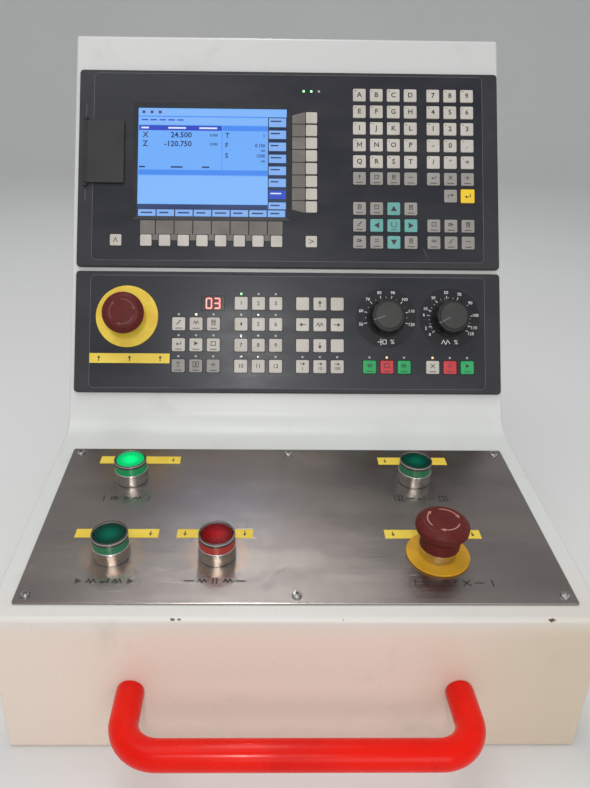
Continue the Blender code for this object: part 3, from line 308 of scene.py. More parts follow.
def brushed_steel():
    """Stainless plate with a hair-fine brushing from side to side, rubbed round the buttons."""
    f = Finish("brushed_stainless", Metallic=1.0)

    def streaks(across, along, detail, roughness=0.5, centre=NECK):
        return f.noise(f.at((across, along, 1.0), centre, DESK_SLOPE), 1.0, detail, roughness)

    broad = streaks(0.16, 0.055, 3.0, 0.55)
    hair = streaks(0.180, 0.00007, 0.0)
    lines = streaks(0.120, 0.00110, 3.0, 0.6)
    marks = streaks(0.040, 0.030, 5.0, 0.66)
    scratch = streaks(0.050, 0.0012, 1.0, centre=(0.0, -0.1, 0.1)).between(0.775, 0.80)
    dust = f.noise(f.at((0.0016, 0.0016, 0.0016))).between(0.73, 0.78)
    colour = f.over(
        f.mix(broad.between(0.3, 0.7), (148, 140, 136), (166, 157, 151)),
        (lines.between(0.40, 0.8) * 0.16, (174, 164, 157)),
        (marks.between(0.52, 0.78) * 0.30, (126, 114, 106)),
    )
    for name in ("start", "hold"):
        button = DESK @ Vector((*BUTTONS[name], 0.0))
        away = f.length(f.at((0.021, 0.021, 0.021), button, DESK_SLOPE)) + marks * 0.3
        rubbed = away.between(0.80, 1.10) * (1 - away.between(1.14, 1.42))
        colour = f.mix(rubbed * 0.45, colour, (186, 156, 130))
    colour = f.mix(dust * 0.4 + scratch * 0.5, colour, (210, 202, 192))
    f.bump(hair, 0.00004, 0.6)
    return f.surface(colour, 0.22 + marks.between(0.35, 0.8) * 0.06)


def turned_metal(name, dark, light, smooth, wear=0.2, slot=None):
    """Plated or turned metal: faint tool rings and cloudy stains."""
    f = Finish(name, slot, Metallic=1.0)
    rings = f.noise(f.at((0.05, 0.05, 0.0005)))
    stains = f.noise(f.at(), 190.0, 4.0, 0.6)
    f.bump(rings + stains * 0.4, 0.00002, 0.5)
    return f.surface(f.mix(stains.between(0.3, 0.75), light, dark), smooth + stains * wear)


def red_powder_coat():
    """Glossy powder coat: long orange peel, dulled where the hands hold it."""
    f = Finish("red_powder_coat", Coat_Weight=0.08, Coat_Roughness=0.1, Specular_IOR_Level=0.14)
    place = f.at()
    worn = f.noise(place, 22.0, 5.0, 0.6)
    specks = f.noise(place, 640.0, 2.0).between(0.70, 0.76)
    colour = f.mix(worn.between(0.35, 0.75), (234, 24, 4), (216, 16, 3))
    f.bump(f.noise(place, 320.0, 2.0) + f.noise(place, 900.0, 1.0) * 0.35, 0.00007, 0.5)
    return f.surface(f.mix(specks * 0.45, colour, (112, 20, 12)), 0.24 + worn.between(0.4, 0.8) * 0.16)


def moulded(name, main, shade, gloss=0.42, grain=1500.0, depth=0.00003, slot=None):
    """Moulded plastic or rubber: eroded grain, slow change of tone, dull worn patches."""
    f = Finish(name, slot, Specular_IOR_Level=0.3)
    place = f.at()
    slow = f.noise(place, 26.0, 4.0, 0.6)
    fine = f.noise(place, grain, 2.0)
    dirt = f.noise(place, 210.0, 4.0, 0.7).between(0.62, 0.85)
    colour = f.mix(slow.between(0.3, 0.75), main, shade)
    f.bump(fine, depth, 0.6)
    return f.surface(f.mix(dirt * 0.22, colour, (96, 88, 76)), gloss + slow * 0.10 + fine * 0.06)


def printed_foil():
    """Matt front foil: fine emboss, wiped smears and dust in the corners."""
    f = Finish("printed_foil", "anthracite_plastic", Specular_IOR_Level=0.3)
    smears = f.noise(f.at((0.14, 0.05, 0.2), NECK, UPRIGHT_PITCH), 1.0, 5.0, 0.62).between(0.3, 0.8)
    dust = f.noise(f.at(), 520.0, 3.0, 0.7).between(0.64, 0.80)
    colour = f.mix(smears, (38, 39, 46), (50, 50, 55))
    f.bump(f.noise(f.at(), 1900.0, 1.0), 0.00003, 0.5)
    return f.surface(f.mix(dust * 0.14, colour, (150, 146, 138)), 0.26 + smears * 0.16 + dust * 0.1)


def mushroom_red():
    """Worn plastic of an emergency stop: faded top, grease in the grain, rubbed rim."""
    f = Finish("mushroom_red", "red_plastic", Specular_IOR_Level=0.18)
    place = f.at()
    faded = f.noise(place, 60.0, 5.0, 0.65)
    grease = f.noise(place, 330.0, 4.0, 0.7).between(0.58, 0.82)
    colour = f.mix(faded.between(0.3, 0.8), (100, 36, 32), (84, 28, 25))
    f.bump(f.noise(place, 800.0, 2.0), 0.00004, 0.5)
    return f.surface(f.mix(grease * 0.4, colour, (66, 34, 30)), 0.34 + faded * 0.20 + grease * 0.1)


def label_yellow(name, light, dark):
    """Yellow tape or disc: slightly faded, with worn ink and dust along its edges."""
    f = Finish(name, "yellow_plastic")
    place = f.at()
    faded = f.noise(place, 48.0, 4.0, 0.6)
    dust = f.noise(place, 700.0, 3.0, 0.7).between(0.60, 0.80)
    colour = f.mix(faded.between(0.3, 0.75), light, dark)
    f.bump(f.noise(place, 240.0, 3.0), 0.00005, 0.4)
    return f.surface(f.mix(dust * 0.3, colour, (140, 112, 50)), 0.38 + faded * 0.15)


def lens_plastic(name, centre, rim, core, glow):
    """Coloured lens, brighter in the middle where the lamp sits behind it."""
    f = Finish(name, "lit_green_lens", Specular_IOR_Level=0.10, Emission_Strength=glow)
    away = f.length(f.at((0.0115, 0.0115, 0.0115), centre))
    depth = f.noise(f.at(), 420.0, 3.0)
    colour = f.mix((away + depth * 0.25).between(0.2, 1.05), core, rim)
    f.bump(f.node("TexVoronoi", sockets={"Vector": f.at(), "Scale": 620.0}), 0.00012, 0.5)
    if glow:
        return f.surface(colour, 0.22 + depth * 0.1, colour)
    return f.surface(colour, 0.20 + depth * 0.12)


def smoky_guard(name, foot, band):
    """Smoky clear guard with the colour of the lens showing through its lower part."""
    f = Finish(name, "green_plastic", Coat_Weight=0.3, Coat_Roughness=0.08)
    rise = f.part(f.at(centre=foot, pitch=DESK_SLOPE), "Z")
    cloudy = f.noise(f.at(), 700.0, 3.0)
    colour = f.mix((rise + cloudy * 0.0006).between(0.0172, 0.0186), band, (62, 56, 53))
    edge = rise.between(0.0192, 0.0197) * (1 - rise.between(0.0201, 0.0205))
    f.bump(cloudy, 0.00001, 0.4)
    return f.surface(f.mix(edge, colour, (168, 160, 152)), 0.14 + cloudy * 0.1)


def screen_picture():
    """Lit picture behind coated glass: the colours are painted on the tiles."""
    f = Finish("screen_picture", "screen_glass_coat", Emission_Strength=1.0, Specular_IOR_Level=0.3)
    place = f.at()
    painted = f.node("Attribute", {"attribute_name": "picture"})
    haze = f.noise(place, 14.0, 3.0).between(0.2, 0.8)
    dust = f.noise(place, 900.0, 2.0).between(0.68, 0.78)
    glow = f.mix(haze * 0.10, painted, (150, 190, 240))
    f.bump(f.noise(place, 1400.0, 1.0), 0.00002, 0.3)
    return f.surface(f.mix(dust * 0.4, (10, 14, 22), (120, 124, 130)), 0.26 + haze * 0.1, glow)


def ink(name, colour, worn):
    """Printed ink, thinned by wear."""
    f = Finish(name, "anthracite_plastic")
    thin = f.noise(f.at(), 1300.0, 3.0, 0.7).between(0.45, 0.8)
    f.bump(thin, 0.00001, 0.4)
    return f.surface(f.mix(thin * 0.6, colour, worn), 0.5 + thin * 0.15)


def small_light(name, colour, glow):
    f = Finish(name, "lit_green_lens", Emission_Strength=glow, Coat_Weight=0.4)
    cloudy = f.noise(f.at(), 900.0, 2.0)
    seen = f.mix(cloudy * 0.4, colour, (235, 235, 225))
    f.bump(cloudy, 0.00002, 0.4)
    return f.surface(seen, 0.3 + cloudy * 0.1, seen)


PAINT = enclosure_paint()
STEEL = brushed_steel()
SATIN = turned_metal("satin_chrome", (186, 182, 176), (224, 221, 216), 0.13, 0.10)
ZINC = turned_metal("zinc_plate", (140, 138, 134), (178, 178, 176), 0.32, slot="zinc_plated_steel")
BRIGHT = turned_metal("bright_screw", (150, 148, 145), (205, 204, 202), 0.14, 0.12, "zinc_plated_steel")
RED_COAT = red_powder_coat()
ANTHRACITE = moulded("anthracite_plastic", (46, 46, 49), (54, 54, 57), grain=900.0)
FOIL = printed_foil()
FLAP = moulded("flap_plastic", (46, 46, 48), (54, 53, 53), 0.40, 1200.0, slot="anthracite_plastic")
BLACK = moulded("black_plastic", (26, 26, 27), (36, 35, 34), 0.48, 900.0)
KNOB = moulded("knob_plastic", (30, 30, 31), (40, 39, 38), 0.36)
KNOB_CAP = moulded("knob_cap_plastic", (58, 58, 57), (66, 65, 62), 0.40, slot="knob_plastic")
IVORY = moulded("ivory_keys", (202, 196, 187), (188, 181, 171), 0.30)
GREY = moulded("grey_keys", (158, 154, 149), (146, 142, 136))
TEAL = moulded("teal_keys", (112, 174, 168), (100, 160, 154), slot="grey_keys")
YELLOW_KEY = moulded("yellow_key", (247, 208, 54), (236, 194, 48), 0.40, slot="yellow_plastic")
GREEN_KEY = moulded("green_keys", (54, 178, 104), (44, 160, 92), 0.40, slot="green_plastic")
RED_KEY = moulded("red_keys", (212, 72, 78), (196, 62, 68), 0.40, slot="red_plastic")
TAUPE = moulded("link_fields", (126, 119, 114), (108, 102, 97), 0.46, 1200.0, slot="grey_keys")
BOARD = moulded("circuit_board", (28, 88, 54), (20, 70, 42), 0.40, 700.0)
RUBBER = moulded("black_rubber", (24, 24, 24), (34, 33, 31), 0.62, 500.0)
WINDOW = moulded("display_window", (46, 24, 28), (36, 18, 22), 0.16, 900.0, 0.00001)
DIAL_BLACK = moulded("dial_black", (24, 24, 28), (32, 32, 36), 0.40, slot="anthracite_plastic")
MUSHROOM = mushroom_red()
DISC_YELLOW = label_yellow("disc_yellow", (216, 160, 22), (198, 142, 16))
PALE_DISC = label_yellow("pale_disc_yellow", (244, 214, 66), (230, 188, 46))
TAPE = label_yellow("yellow_tape", (242, 212, 76), (232, 196, 58))
DARK_INK = ink("dark_ink", (42, 40, 38), (110, 106, 98))
WHITE_INK = ink("white_ink", (232, 232, 228), (190, 190, 186))
PALE_LINE = ink("pale_line", (98, 99, 102), (72, 73, 76))
ARROW_INK = ink("arrow_ink", (190, 134, 122), (130, 72, 62))
FAINT_ARROW = ink("faint_arrow", (116, 64, 56), (98, 48, 42))
CORNER_INK = ink("corner_ink", (104, 76, 66), (140, 124, 114))
LED_OFF = small_light("light_off", (150, 152, 150), 0.0)
LED_GREEN = small_light("light_green", (120, 240, 140), 1.1)
LED_WARM = small_light("light_warm", (250, 240, 210), 1.0)
LED_ORANGE = small_light("light_orange", (255, 160, 60), 1.1)
DIGIT_RED = small_light("digit_red", (255, 64, 50), 2.2)

METALS = (PAINT, STEEL, ZINC, SATIN, RED_COAT)
PLASTICS = (ANTHRACITE, BLACK, KNOB, BOARD, WINDOW, IVORY, GREY, DISC_YELLOW, GREEN_KEY, MUSHROOM, RUBBER)
SLOT_FINISH = {finish["slot"]: finish for finish in METALS + PLASTICS}
SLOT_FINISH["lit_green_lens"] = GREEN_KEY


def dress_nodes():
    """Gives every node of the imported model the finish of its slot."""
    for name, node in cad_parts.items():
        for slot in node.material_slots:
            kind = slot.material.name.split(".")[0] if slot.material else ""
            slot.material = FLAP if name == "port_flap" else SLOT_FINISH.get(kind, BLACK)


# Shapes


def rounded(corners, steps=4):
    """An outline with its corners (x, y, radius) rounded."""
    points = []
    for i, (x, y, radius) in enumerate(corners):
        if radius < 1e-6:
            points.append((x, y))
            continue
        here = Vector((x, y))
        before = (Vector(corners[i - 1][:2]) - here).normalized()
        after = (Vector(corners[(i + 1) % len(corners)][:2]) - here).normalized()
        half = before.angle(after) / 2
        middle = here + (before + after).normalized() * radius / math.sin(half)
        start = here + before * radius / math.tan(half) - middle
        end = here + after * radius / math.tan(half) - middle
        turn = start.angle_signed(end)
        pieces = steps * 4 if radius > NECK_RADIUS / 2 else steps
        for step in range(pieces + 1):
            points.append(middle + Matrix.Rotation(-turn * step / pieces, 2) @ start)
    return points


def inset(corners, distance):
    """The same corners on sides moved inwards, for an outline that runs anticlockwise."""
    moved = []
    for i, (x, y, radius) in enumerate(corners):
        here = Vector((x, y))
        came = (here - Vector(corners[i - 1][:2])).normalized()
        goes = (Vector(corners[(i + 1) % len(corners)][:2]) - here).normalized()
        inward = Vector((-came.y - goes.y, came.x + goes.x))
        corner = here + inward * distance / (1 + came.dot(goes))
        softened = max(radius - math.copysign(distance, came.cross(goes)), GAP) if radius else 0.0
        moved.append((*corner, softened))
    return moved


def rectangle(width, height, radius=0.0, centre=(0.0, 0.0)):
    x, y = centre
    w, h = width / 2, height / 2
    return [(x - w, y - h, radius), (x + w, y - h, radius), (x + w, y + h, radius), (x - w, y + h, radius)]


def circle(radius, count):
    angles = [math.tau * i / count for i in range(count)]
    return [(radius * math.cos(angle), radius * math.sin(angle)) for angle in angles]


def closed_skin(rings):
    """A closed solid through rings of points, all of the same count."""
    bm = bmesh.new()
    rings = [[bm.verts.new(point) for point in ring] for ring in rings]
    for low, high in zip(rings, rings[1:]):
        for i in range(len(low)):
            bm.faces.new((low[i - 1], low[i], high[i], high[i - 1]))
    bm.faces.new(reversed(rings[0]))
    bm.faces.new(rings[-1])
    return bm


def loft(sections):
    """A closed solid through outlines (points, z) of equal point count."""
    return closed_skin([[(x, y, z) for x, y in points] for points, z in sections])


def slab(corners, low, high, edge=0.0, steps=4):
    """A plate between two heights, its top edge rounded over."""
    sections = [(rounded(corners, steps), low), (rounded(corners, steps), high - edge)]
    if edge:
        for turn in (30, 60, 90):
            angle = math.radians(turn)
            outline = rounded(inset(corners, edge * (1 - math.cos(angle))), steps)
            sections.append((outline, high - edge + edge * math.sin(angle)))
    return loft(sections)


def turned(profile, segments=64, bm=None, at=(0.0, 0.0)):
    """A solid of revolution about local Z from (radius, height) points, closed if off the axis."""
    bm = bm or bmesh.new()
    rings = []
    for radius, height in profile:
        points = circle(radius, segments) if radius > 1e-7 else [(0.0, 0.0)]
        rings.append([bm.verts.new((at[0] + x, at[1] + y, height)) for x, y in points])
    pairs = list(zip(rings, rings[1:]))
    if len(rings[0]) > 1 and len(rings[-1]) > 1:
        pairs.append((rings[-1], rings[0]))
    made = []
    for low, high in pairs:
        for i in range(segments):
            j = (i + 1) % segments
            corners = (low[i % len(low)], low[j % len(low)], high[j % len(high)], high[i % len(high)])
            made.append(bm.faces.new(list(dict.fromkeys(corners))))
    bmesh.ops.recalc_face_normals(bm, faces=made)
    return bm


def rod(diameter, low, high, segments=48, bm=None, at=(0.0, 0.0)):
    radius = diameter / 2
    return turned([(0.0, low), (radius, low), (radius, high), (0.0, high)], segments, bm, at)


def to_object(name, bm, matrix, finish=None):
    mesh = bpy.data.meshes.new(name)
    bm.to_mesh(mesh)
    bm.free()
    mesh.transform(matrix)
    if finish:
        mesh.materials.append(finish)
    made = bpy.data.objects.new(name, mesh)
    bpy.context.scene.collection.objects.link(made)
    return made


def evaluated_mesh(made):
    return bpy.data.meshes.new_from_object(made.evaluated_get(bpy.context.evaluated_depsgraph_get()))


def settle(made):
    """Replaces an object's mesh by what its modifiers make of it."""
    old, made.data = made.data, evaluated_mesh(made)
    made.modifiers.clear()
    bpy.data.meshes.remove(old)
    made.data.name = made.name


def shade(made, angle):
    """Smooth shading with hard edges above an angle, level on the flats."""
    made.data.shade_smooth()
    made.data.set_sharp_from_angle(angle=math.radians(angle))
    modifier = made.modifiers.new("level_flats", "WEIGHTED_NORMAL")
    modifier.keep_sharp = True
    settle(made)


def register(made, body, replaced=()):
    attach(made, body)
    if replaced:
        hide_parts(*replaced)
    return made


def piece(name, bm, matrix, finish, body="console", replaced=(), angle=32):
    made = to_object(name, bm, matrix, finish)
    shade(made, angle)
    return register(made, body, replaced)


# Repeated pieces


def setting_out_tree():
    """Sets one shape at every place of a layout."""
    tree = bpy.data.node_groups.new("set_out_shapes", "GeometryNodeTree")
    inputs = {"Places": "Geometry", "Shape": "Object", "Size": "Float", "Finish": "Material"}
    for name, kind in inputs.items():
        tree.interface.new_socket(name, in_out="INPUT", socket_type=f"NodeSocket{kind}")
    tree.interface.new_socket("Shapes", in_out="OUTPUT", socket_type="NodeSocketGeometry")
    start, end = tree.nodes.new("NodeGroupInput"), tree.nodes.new("NodeGroupOutput")
    kinds = ("ObjectInfo", "InstanceOnPoints", "RealizeInstances", "SetMaterial")
    shape, scatter, real, coat = (tree.nodes.new(f"GeometryNode{kind}") for kind in kinds)
    for source, output, target, socket in (
        (start, "Shape", shape, "Object"),
        (start, "Places", scatter, "Points"),
        (shape, "Geometry", scatter, "Instance"),
        (start, "Size", scatter, "Scale"),
        (scatter, "Instances", real, "Geometry"),
        (real, "Geometry", coat, "Geometry"),
        (start, "Finish", coat, "Material"),
        (coat, "Geometry", end, "Shapes"),
    ):
        tree.links.new(source.outputs[output], target.inputs[socket])
    return tree


SET_OUT = setting_out_tree()


def set_out(name, shape, places, matrix, finish, body="console", replaced=(), size=1.0, angle=32):
    """One piece made of the same shape at many places of a face."""
    layout = bmesh.new()
    for place in places:
        layout.verts.new((*place, 0.0))
    made = to_object(name, layout, Matrix())
    pattern = to_object(f"{name}_pattern", shape, Matrix(), finish)
    modifier = made.modifiers.new("set_out", "NODES")
    modifier.node_group = SET_OUT
    inputs = {"Shape": pattern, "Size": size, "Finish": finish}
    for item in SET_OUT.interface.items_tree:
        if item.name in inputs:
            modifier[item.identifier] = inputs[item.name]
    settle(made)
    bpy.data.objects.remove(pattern, do_unlink=True)
    made.data.transform(matrix)
    shade(made, angle)
    return register(made, body, replaced)


# Printing

# Pictograms round their middle, in hundredths of their size: each stroke is a line, loop or fill
SIGNS = {
    "up": "line 0 -38 0 8, fill -24 4 24 4 0 42",
    "point": "fill -40 -32 40 -32 0 36",
    "play": "fill -26 -34 36 0 -26 34",
    "hold": "line -16 -32 -16 32, line 16 -32 16 32",
    "bar": "line -36 0 36 0",
    "em": "line -32 -36 -32 36 0 -12 32 36 32 -36",
    "one": "line 0 -34 0 34",
    "plus": "line -34 0 34 0, line 0 -34 0 34",
    "cross": "line -30 -30 30 30, line -30 30 30 -30",
    "frame": "loop -34 -30 34 -30 34 30 -34 30",
    "page": "loop -26 -38 26 -38 26 38 -26 38, line -14 16 14 16, line -14 -6 14 -6",
    "wave": "line -42 -14 -22 22 -2 -22 18 22 40 -14",
    "steps": "line -38 -30 -12 -30 -12 0 12 0 12 30 38 30",
    "chuck": "loop -40 -20 -6 -20 -6 20 -40 20, line -6 0 42 0, line 14 -30 14 30",
    "door": "loop -42 -40 42 -40 42 40 -42 40, line 0 -40 0 40, line 12 -10 12 10",
    "back": "line 36 26 36 -12 -16 -12, fill -10 -34 -10 10 -42 -12",
    "lamp": "line -16 -30 16 -30, line -30 30 30 30, line 0 -10 0 24",
    "chevron": "line -26 -30 0 30 26 -30",
}


class Print:
    """Thin printed shapes on one level of a face, gathered into one piece."""

    def __init__(self, level, thickness=0.00005, painted=False):
        self.bm = bmesh.new()
        self.level = level
        self.thickness = thickness
        self.layer = self.bm.loops.layers.float_color.new("picture") if painted else None

    def paint(self, faces, colour):
        if self.layer:
            for made in faces:
                for corner in made.loops:
                    corner[self.layer] = colour

    def fill(self, points, colour=None, level=0.0):
        low = self.level + level
        down = [self.bm.verts.new((x, y, low)) for x, y in points]
        up = [self.bm.verts.new((x, y, low + self.thickness)) for x, y in points]
        faces = [self.bm.faces.new(reversed(down)), self.bm.faces.new(up)]
        for i in range(len(points)):
            faces.append(self.bm.faces.new((down[i - 1], down[i], up[i], up[i - 1])))
        bmesh.ops.recalc_face_normals(self.bm, faces=faces)
        self.paint(faces, colour)

    def line(self, points, width, closed=False):
        points = [Vector(p) for p in points]
        for start, end in zip(points, points[1:] + points[:1] * closed):
            along = (end - start).normalized() * width / 2
            across = Vector((-along.y, along.x))
            near, far = start - along, end + along
            self.fill([near - across, far - across, far + across, near + across])

    def arc(self, centre, radius, start, end, width, steps=16):
        """A curved band, angles in degrees."""
        angles = [start + (end - start) * i / steps for i in range(steps + 1)]
        near, far = radius - width / 2, radius + width / 2
        for a, b in zip(angles, angles[1:]):
            band = ((a, near), (b, near), (b, far), (a, far))
            self.fill([Vector(centre) + spun(turn, reach) for turn, reach in band])

    def box(self, left, low, right, high, colour=None, level=0.0):
        self.fill([(left, low), (right, low), (right, high), (left, high)], colour, level)

    def sign(self, kind, at, size, turn=0, width=0.09):
        """A pictogram from strokes and filled shapes, turned in degrees."""
        for stroke in SIGNS[kind].split(", "):
            form, *numbers = stroke.split()
            values = [int(number) / 100 for number in numbers]
            placed = [Vector(at) + spun(turn, x, y) * size for x, y in zip(values[::2], values[1::2])]
            if form == "fill":
                self.fill(placed)
            else:
                self.line(placed, width * size, closed=form == "loop")

    def captioned(self, kind, at, size, turn=0):
        """A pictogram with the stroke of a caption under it."""
        x, y = at
        self.sign(kind, (x, y + 0.0014), size, turn, 0.11)
        self.box(x - 0.0033, y - 0.0047, x + 0.0033, y - 0.0040)

    def text(self, words, at, size, align="CENTER", colour=None, level=0.0, weight=0.020):
        curve = bpy.data.curves.new("lettering", "FONT")
        curve.body, curve.size, curve.align_x, curve.align_y = words, size, align, "CENTER"
        curve.extrude = self.thickness / 2
        curve.offset = size * weight
        curve.resolution_u = 2
        letter = bpy.data.objects.new("lettering", curve)
        bpy.context.scene.collection.objects.link(letter)
        mesh = evaluated_mesh(letter)
        bpy.data.objects.remove(letter, do_unlink=True)
        mesh.transform(Matrix.Translation((*at, self.level + level + self.thickness / 2)))
        before = len(self.bm.faces)
        self.bm.from_mesh(mesh)
        self.bm.faces.ensure_lookup_table()
        self.paint(self.bm.faces[before:], colour)
        bpy.data.meshes.remove(mesh)

    def piece(self, name, matrix, finish, body="console", replaced=()):
        bmesh.ops.remove_doubles(self.bm, verts=self.bm.verts, dist=1e-6)
        bmesh.ops.recalc_face_normals(self.bm, faces=self.bm.faces)
        made = to_object(name, self.bm, matrix, finish)
        return register(made, body, replaced)


# Enclosure


def side_corners():
    """Corners of the box in the side view, anticlockwise: depth, height and radius."""
    lean = Vector((math.sin(UPRIGHT_LEAN), math.cos(UPRIGHT_LEAN)))
    neck = NECK.yz
    kink = neck + Vector((BASE_REACH, (BASE_REACH * lean.y - UPRIGHT_DEPTH) / lean.x))
    crown = neck + UPRIGHT_LENGTH * lean
    crown_rear = crown + UPRIGHT_DEPTH * Vector((lean.y, -lean.x))
    return [
        (FOLD.y, 0.0, FOLD_RADIUS),
        (kink.x, 0.0, FOLD_RADIUS),
        (*kink, KINK_RADIUS),
        (*crown_rear, FOLD_RADIUS),
        (*crown, FOLD_RADIUS),
        (*neck, NECK_RADIUS),
        (FOLD.y, FOLD.z, FOLD_RADIUS),
    ]


def sideways(bm):
    """Turns a solid drawn in the side view, so that its local Z runs across the console."""
    turn = Matrix(((0, 0, 1, 0), (1, 0, 0, 0), (0, 1, 0, 0), (0, 0, 0, 1)))
    bmesh.ops.transform(bm, matrix=turn, verts=bm.verts)
    return bm


def opening_tools(corners):
    """What is cut out of the box: its hollow, the rear opening, both units' openings and the holes."""
    half = WIDTH / 2 - SHEET
    inner = rounded(inset(corners, SHEET), 6)
    low, high = REAR_OPENING
    rear = rectangle(WIDTH - 2 * REAR_MARGIN, high - low, FOLD_RADIUS, (0.0, (low + high) / 2))
    tools = [
        (sideways(loft([(inner, -half), (inner, half)])), Matrix()),
        (slab(rear, -UPRIGHT_DEPTH - 4 * SHEET, -UPRIGHT_DEPTH + 3 * SHEET), UPRIGHT),
    ]
    for matrix, height in ((DISPLAY, DISPLAY_HEIGHT), (CONTROL, CONTROL_HEIGHT)):
        cutout = rectangle(CUTOUT_WIDTH, height - 2 * CUTOUT_MARGIN, 0.003)
        tools.append((slab(cutout, -BEZEL_THICKNESS - 3 * SHEET, 0.0), matrix))
    bolts = grid((-FOOT_BOLT, FOOT_BOLT), (FOOT_CENTRE - FOOT_BOLT, FOOT_CENTRE + FOOT_BOLT))
    for diameter, low, high, segments, matrix, places in (
        (BUTTON_HOLE, -2, 2, 48, DESK, (*BUTTONS.values(), DESK_STOP_AT)),
        (HANDLE_HOLE, -2, 1, 24, APRON, grid((-HANDLE_HALF, HANDLE_HALF), [-HANDLE_DROP])),
        (BOLT_HOLE, -1, 4, 24, Matrix(), bolts),
        (CABLE_HOLE, -2, 1, 48, REAR, [CABLE_ENTRY_AT]),
    ):
        holes = bmesh.new()
        for place in places:
            rod(diameter, low * SHEET, high * SHEET, segments, holes, place)
        tools.append((holes, matrix))
    return tools


def enclosure():
    """Folded box with rounded side edges, kept inside the solids' box, and hollow."""
    corners = side_corners()
    sections = []
    for side, steps in ((-1, range(5, -1, -1)), (1, range(6))):
        for step in steps:
            turn = math.radians(18 * step)
            outline = rounded(inset(corners, SIDE_EDGE_RADIUS * (1 - math.cos(turn))), 6)
            sections.append((outline, side * (WIDTH / 2 - SIDE_EDGE_RADIUS * (1 - math.sin(turn)))))
    body = sideways(loft(sections))
    for vert in body.verts:
        vert.co = (vert.co.x, min(vert.co.y, cad_box[1][1]), min(vert.co.z, cad_box[1][2]))
    skin = to_object("enclosure_skin", body, Matrix(), PAINT)
    helpers = [to_object("cutter", tool, matrix) for tool, matrix in opening_tools(corners)]
    for helper in helpers:
        modifier = skin.modifiers.new("cut", "BOOLEAN")
        modifier.operation, modifier.solver, modifier.object = "DIFFERENCE", "EXACT", helper
    settle(skin)
    for helper in helpers:
        bpy.data.objects.remove(helper, do_unlink=True)
    shade(skin, 32)
    register(skin, "console", ("enclosure_body",))


def handle():
    """Round bar bent to a U, its legs square to the apron, with a rolled edge at each foot."""
    steps = 20
    path = [(-HANDLE_HALF, out) for out in (GAP, 0.004, HANDLE_STANDOFF - HANDLE_BEND)]
    for step in range(1, steps + 1):
        turn = math.pi / 2 * step / steps
        across = HANDLE_HALF - HANDLE_BEND * (1 - math.cos(turn))
        path.append((-across, HANDLE_STANDOFF - HANDLE_BEND * (1 - math.sin(turn))))
    path.append((0.0, HANDLE_STANDOFF))
    path += [(-x, out) for x, out in reversed(path[:-1])]
    last = len(path) - 1
    rings = []
    for i, (x, out) in enumerate(path):
        along = (Vector(path[min(i + 1, last)]) - Vector(path[max(i - 1, 0)])).normalized()
        radius = HANDLE_RADIUS - (0.0005 if i in (0, last) else 0.0)
        rings.append([(x - along.y * a, b, out + along.x * a) for a, b in circle(radius, 40)])
    bm = closed_skin(rings)
    bmesh.ops.recalc_face_normals(bm, faces=bm.faces)
    piece("grab_handle", bm, shifted(APRON, 0.0, -HANDLE_DROP, 0.0), RED_COAT, "console", ("handle",), 50)


def dome_screw(diameter, height):
    """Domed head with a hexagon socket."""
    radius, count = diameter / 2, 24
    profile = ((1.0, 0.0), (1.0, 0.25), (0.90, 0.62), (0.62, 1.0))
    sections = [(circle(radius * out, count), height * up) for out, up in profile]
    socket = []
    for i in range(count):
        angle = math.tau * i / count
        flat = radius * 0.40 / math.cos((angle + math.pi / 6) % (math.pi / 3) - math.pi / 6)
        socket.append((flat * math.cos(angle), flat * math.sin(angle)))
    return loft(sections + [(socket, height * 1.02), (socket, height * 0.35)])


def screws():
    places = grid((-0.191, 0.0, 0.191), (-0.0468, -0.2218))
    plate = shifted(DESK, 0.0, 0.0, PLATE_TOP)
    set_out("plate_screws", dome_screw(0.0072, 0.0022), places, plate, BRIGHT, angle=24)
    low, high = REAR_OPENING
    behind = shifted(UPRIGHT, 0.0, 0.0, -UPRIGHT_DEPTH - GAP - SHEET) @ Matrix.Rotation(math.pi, 4, "Y")
    places = grid((-0.190, 0.0, 0.190), (low - 0.006, high + 0.006))
    places += grid((-0.2015, 0.2015), [(low + high) / 2])
    set_out("cover_screws", dome_screw(0.0070, 0.0020), places, behind, BRIGHT, angle=24)


# Fronts


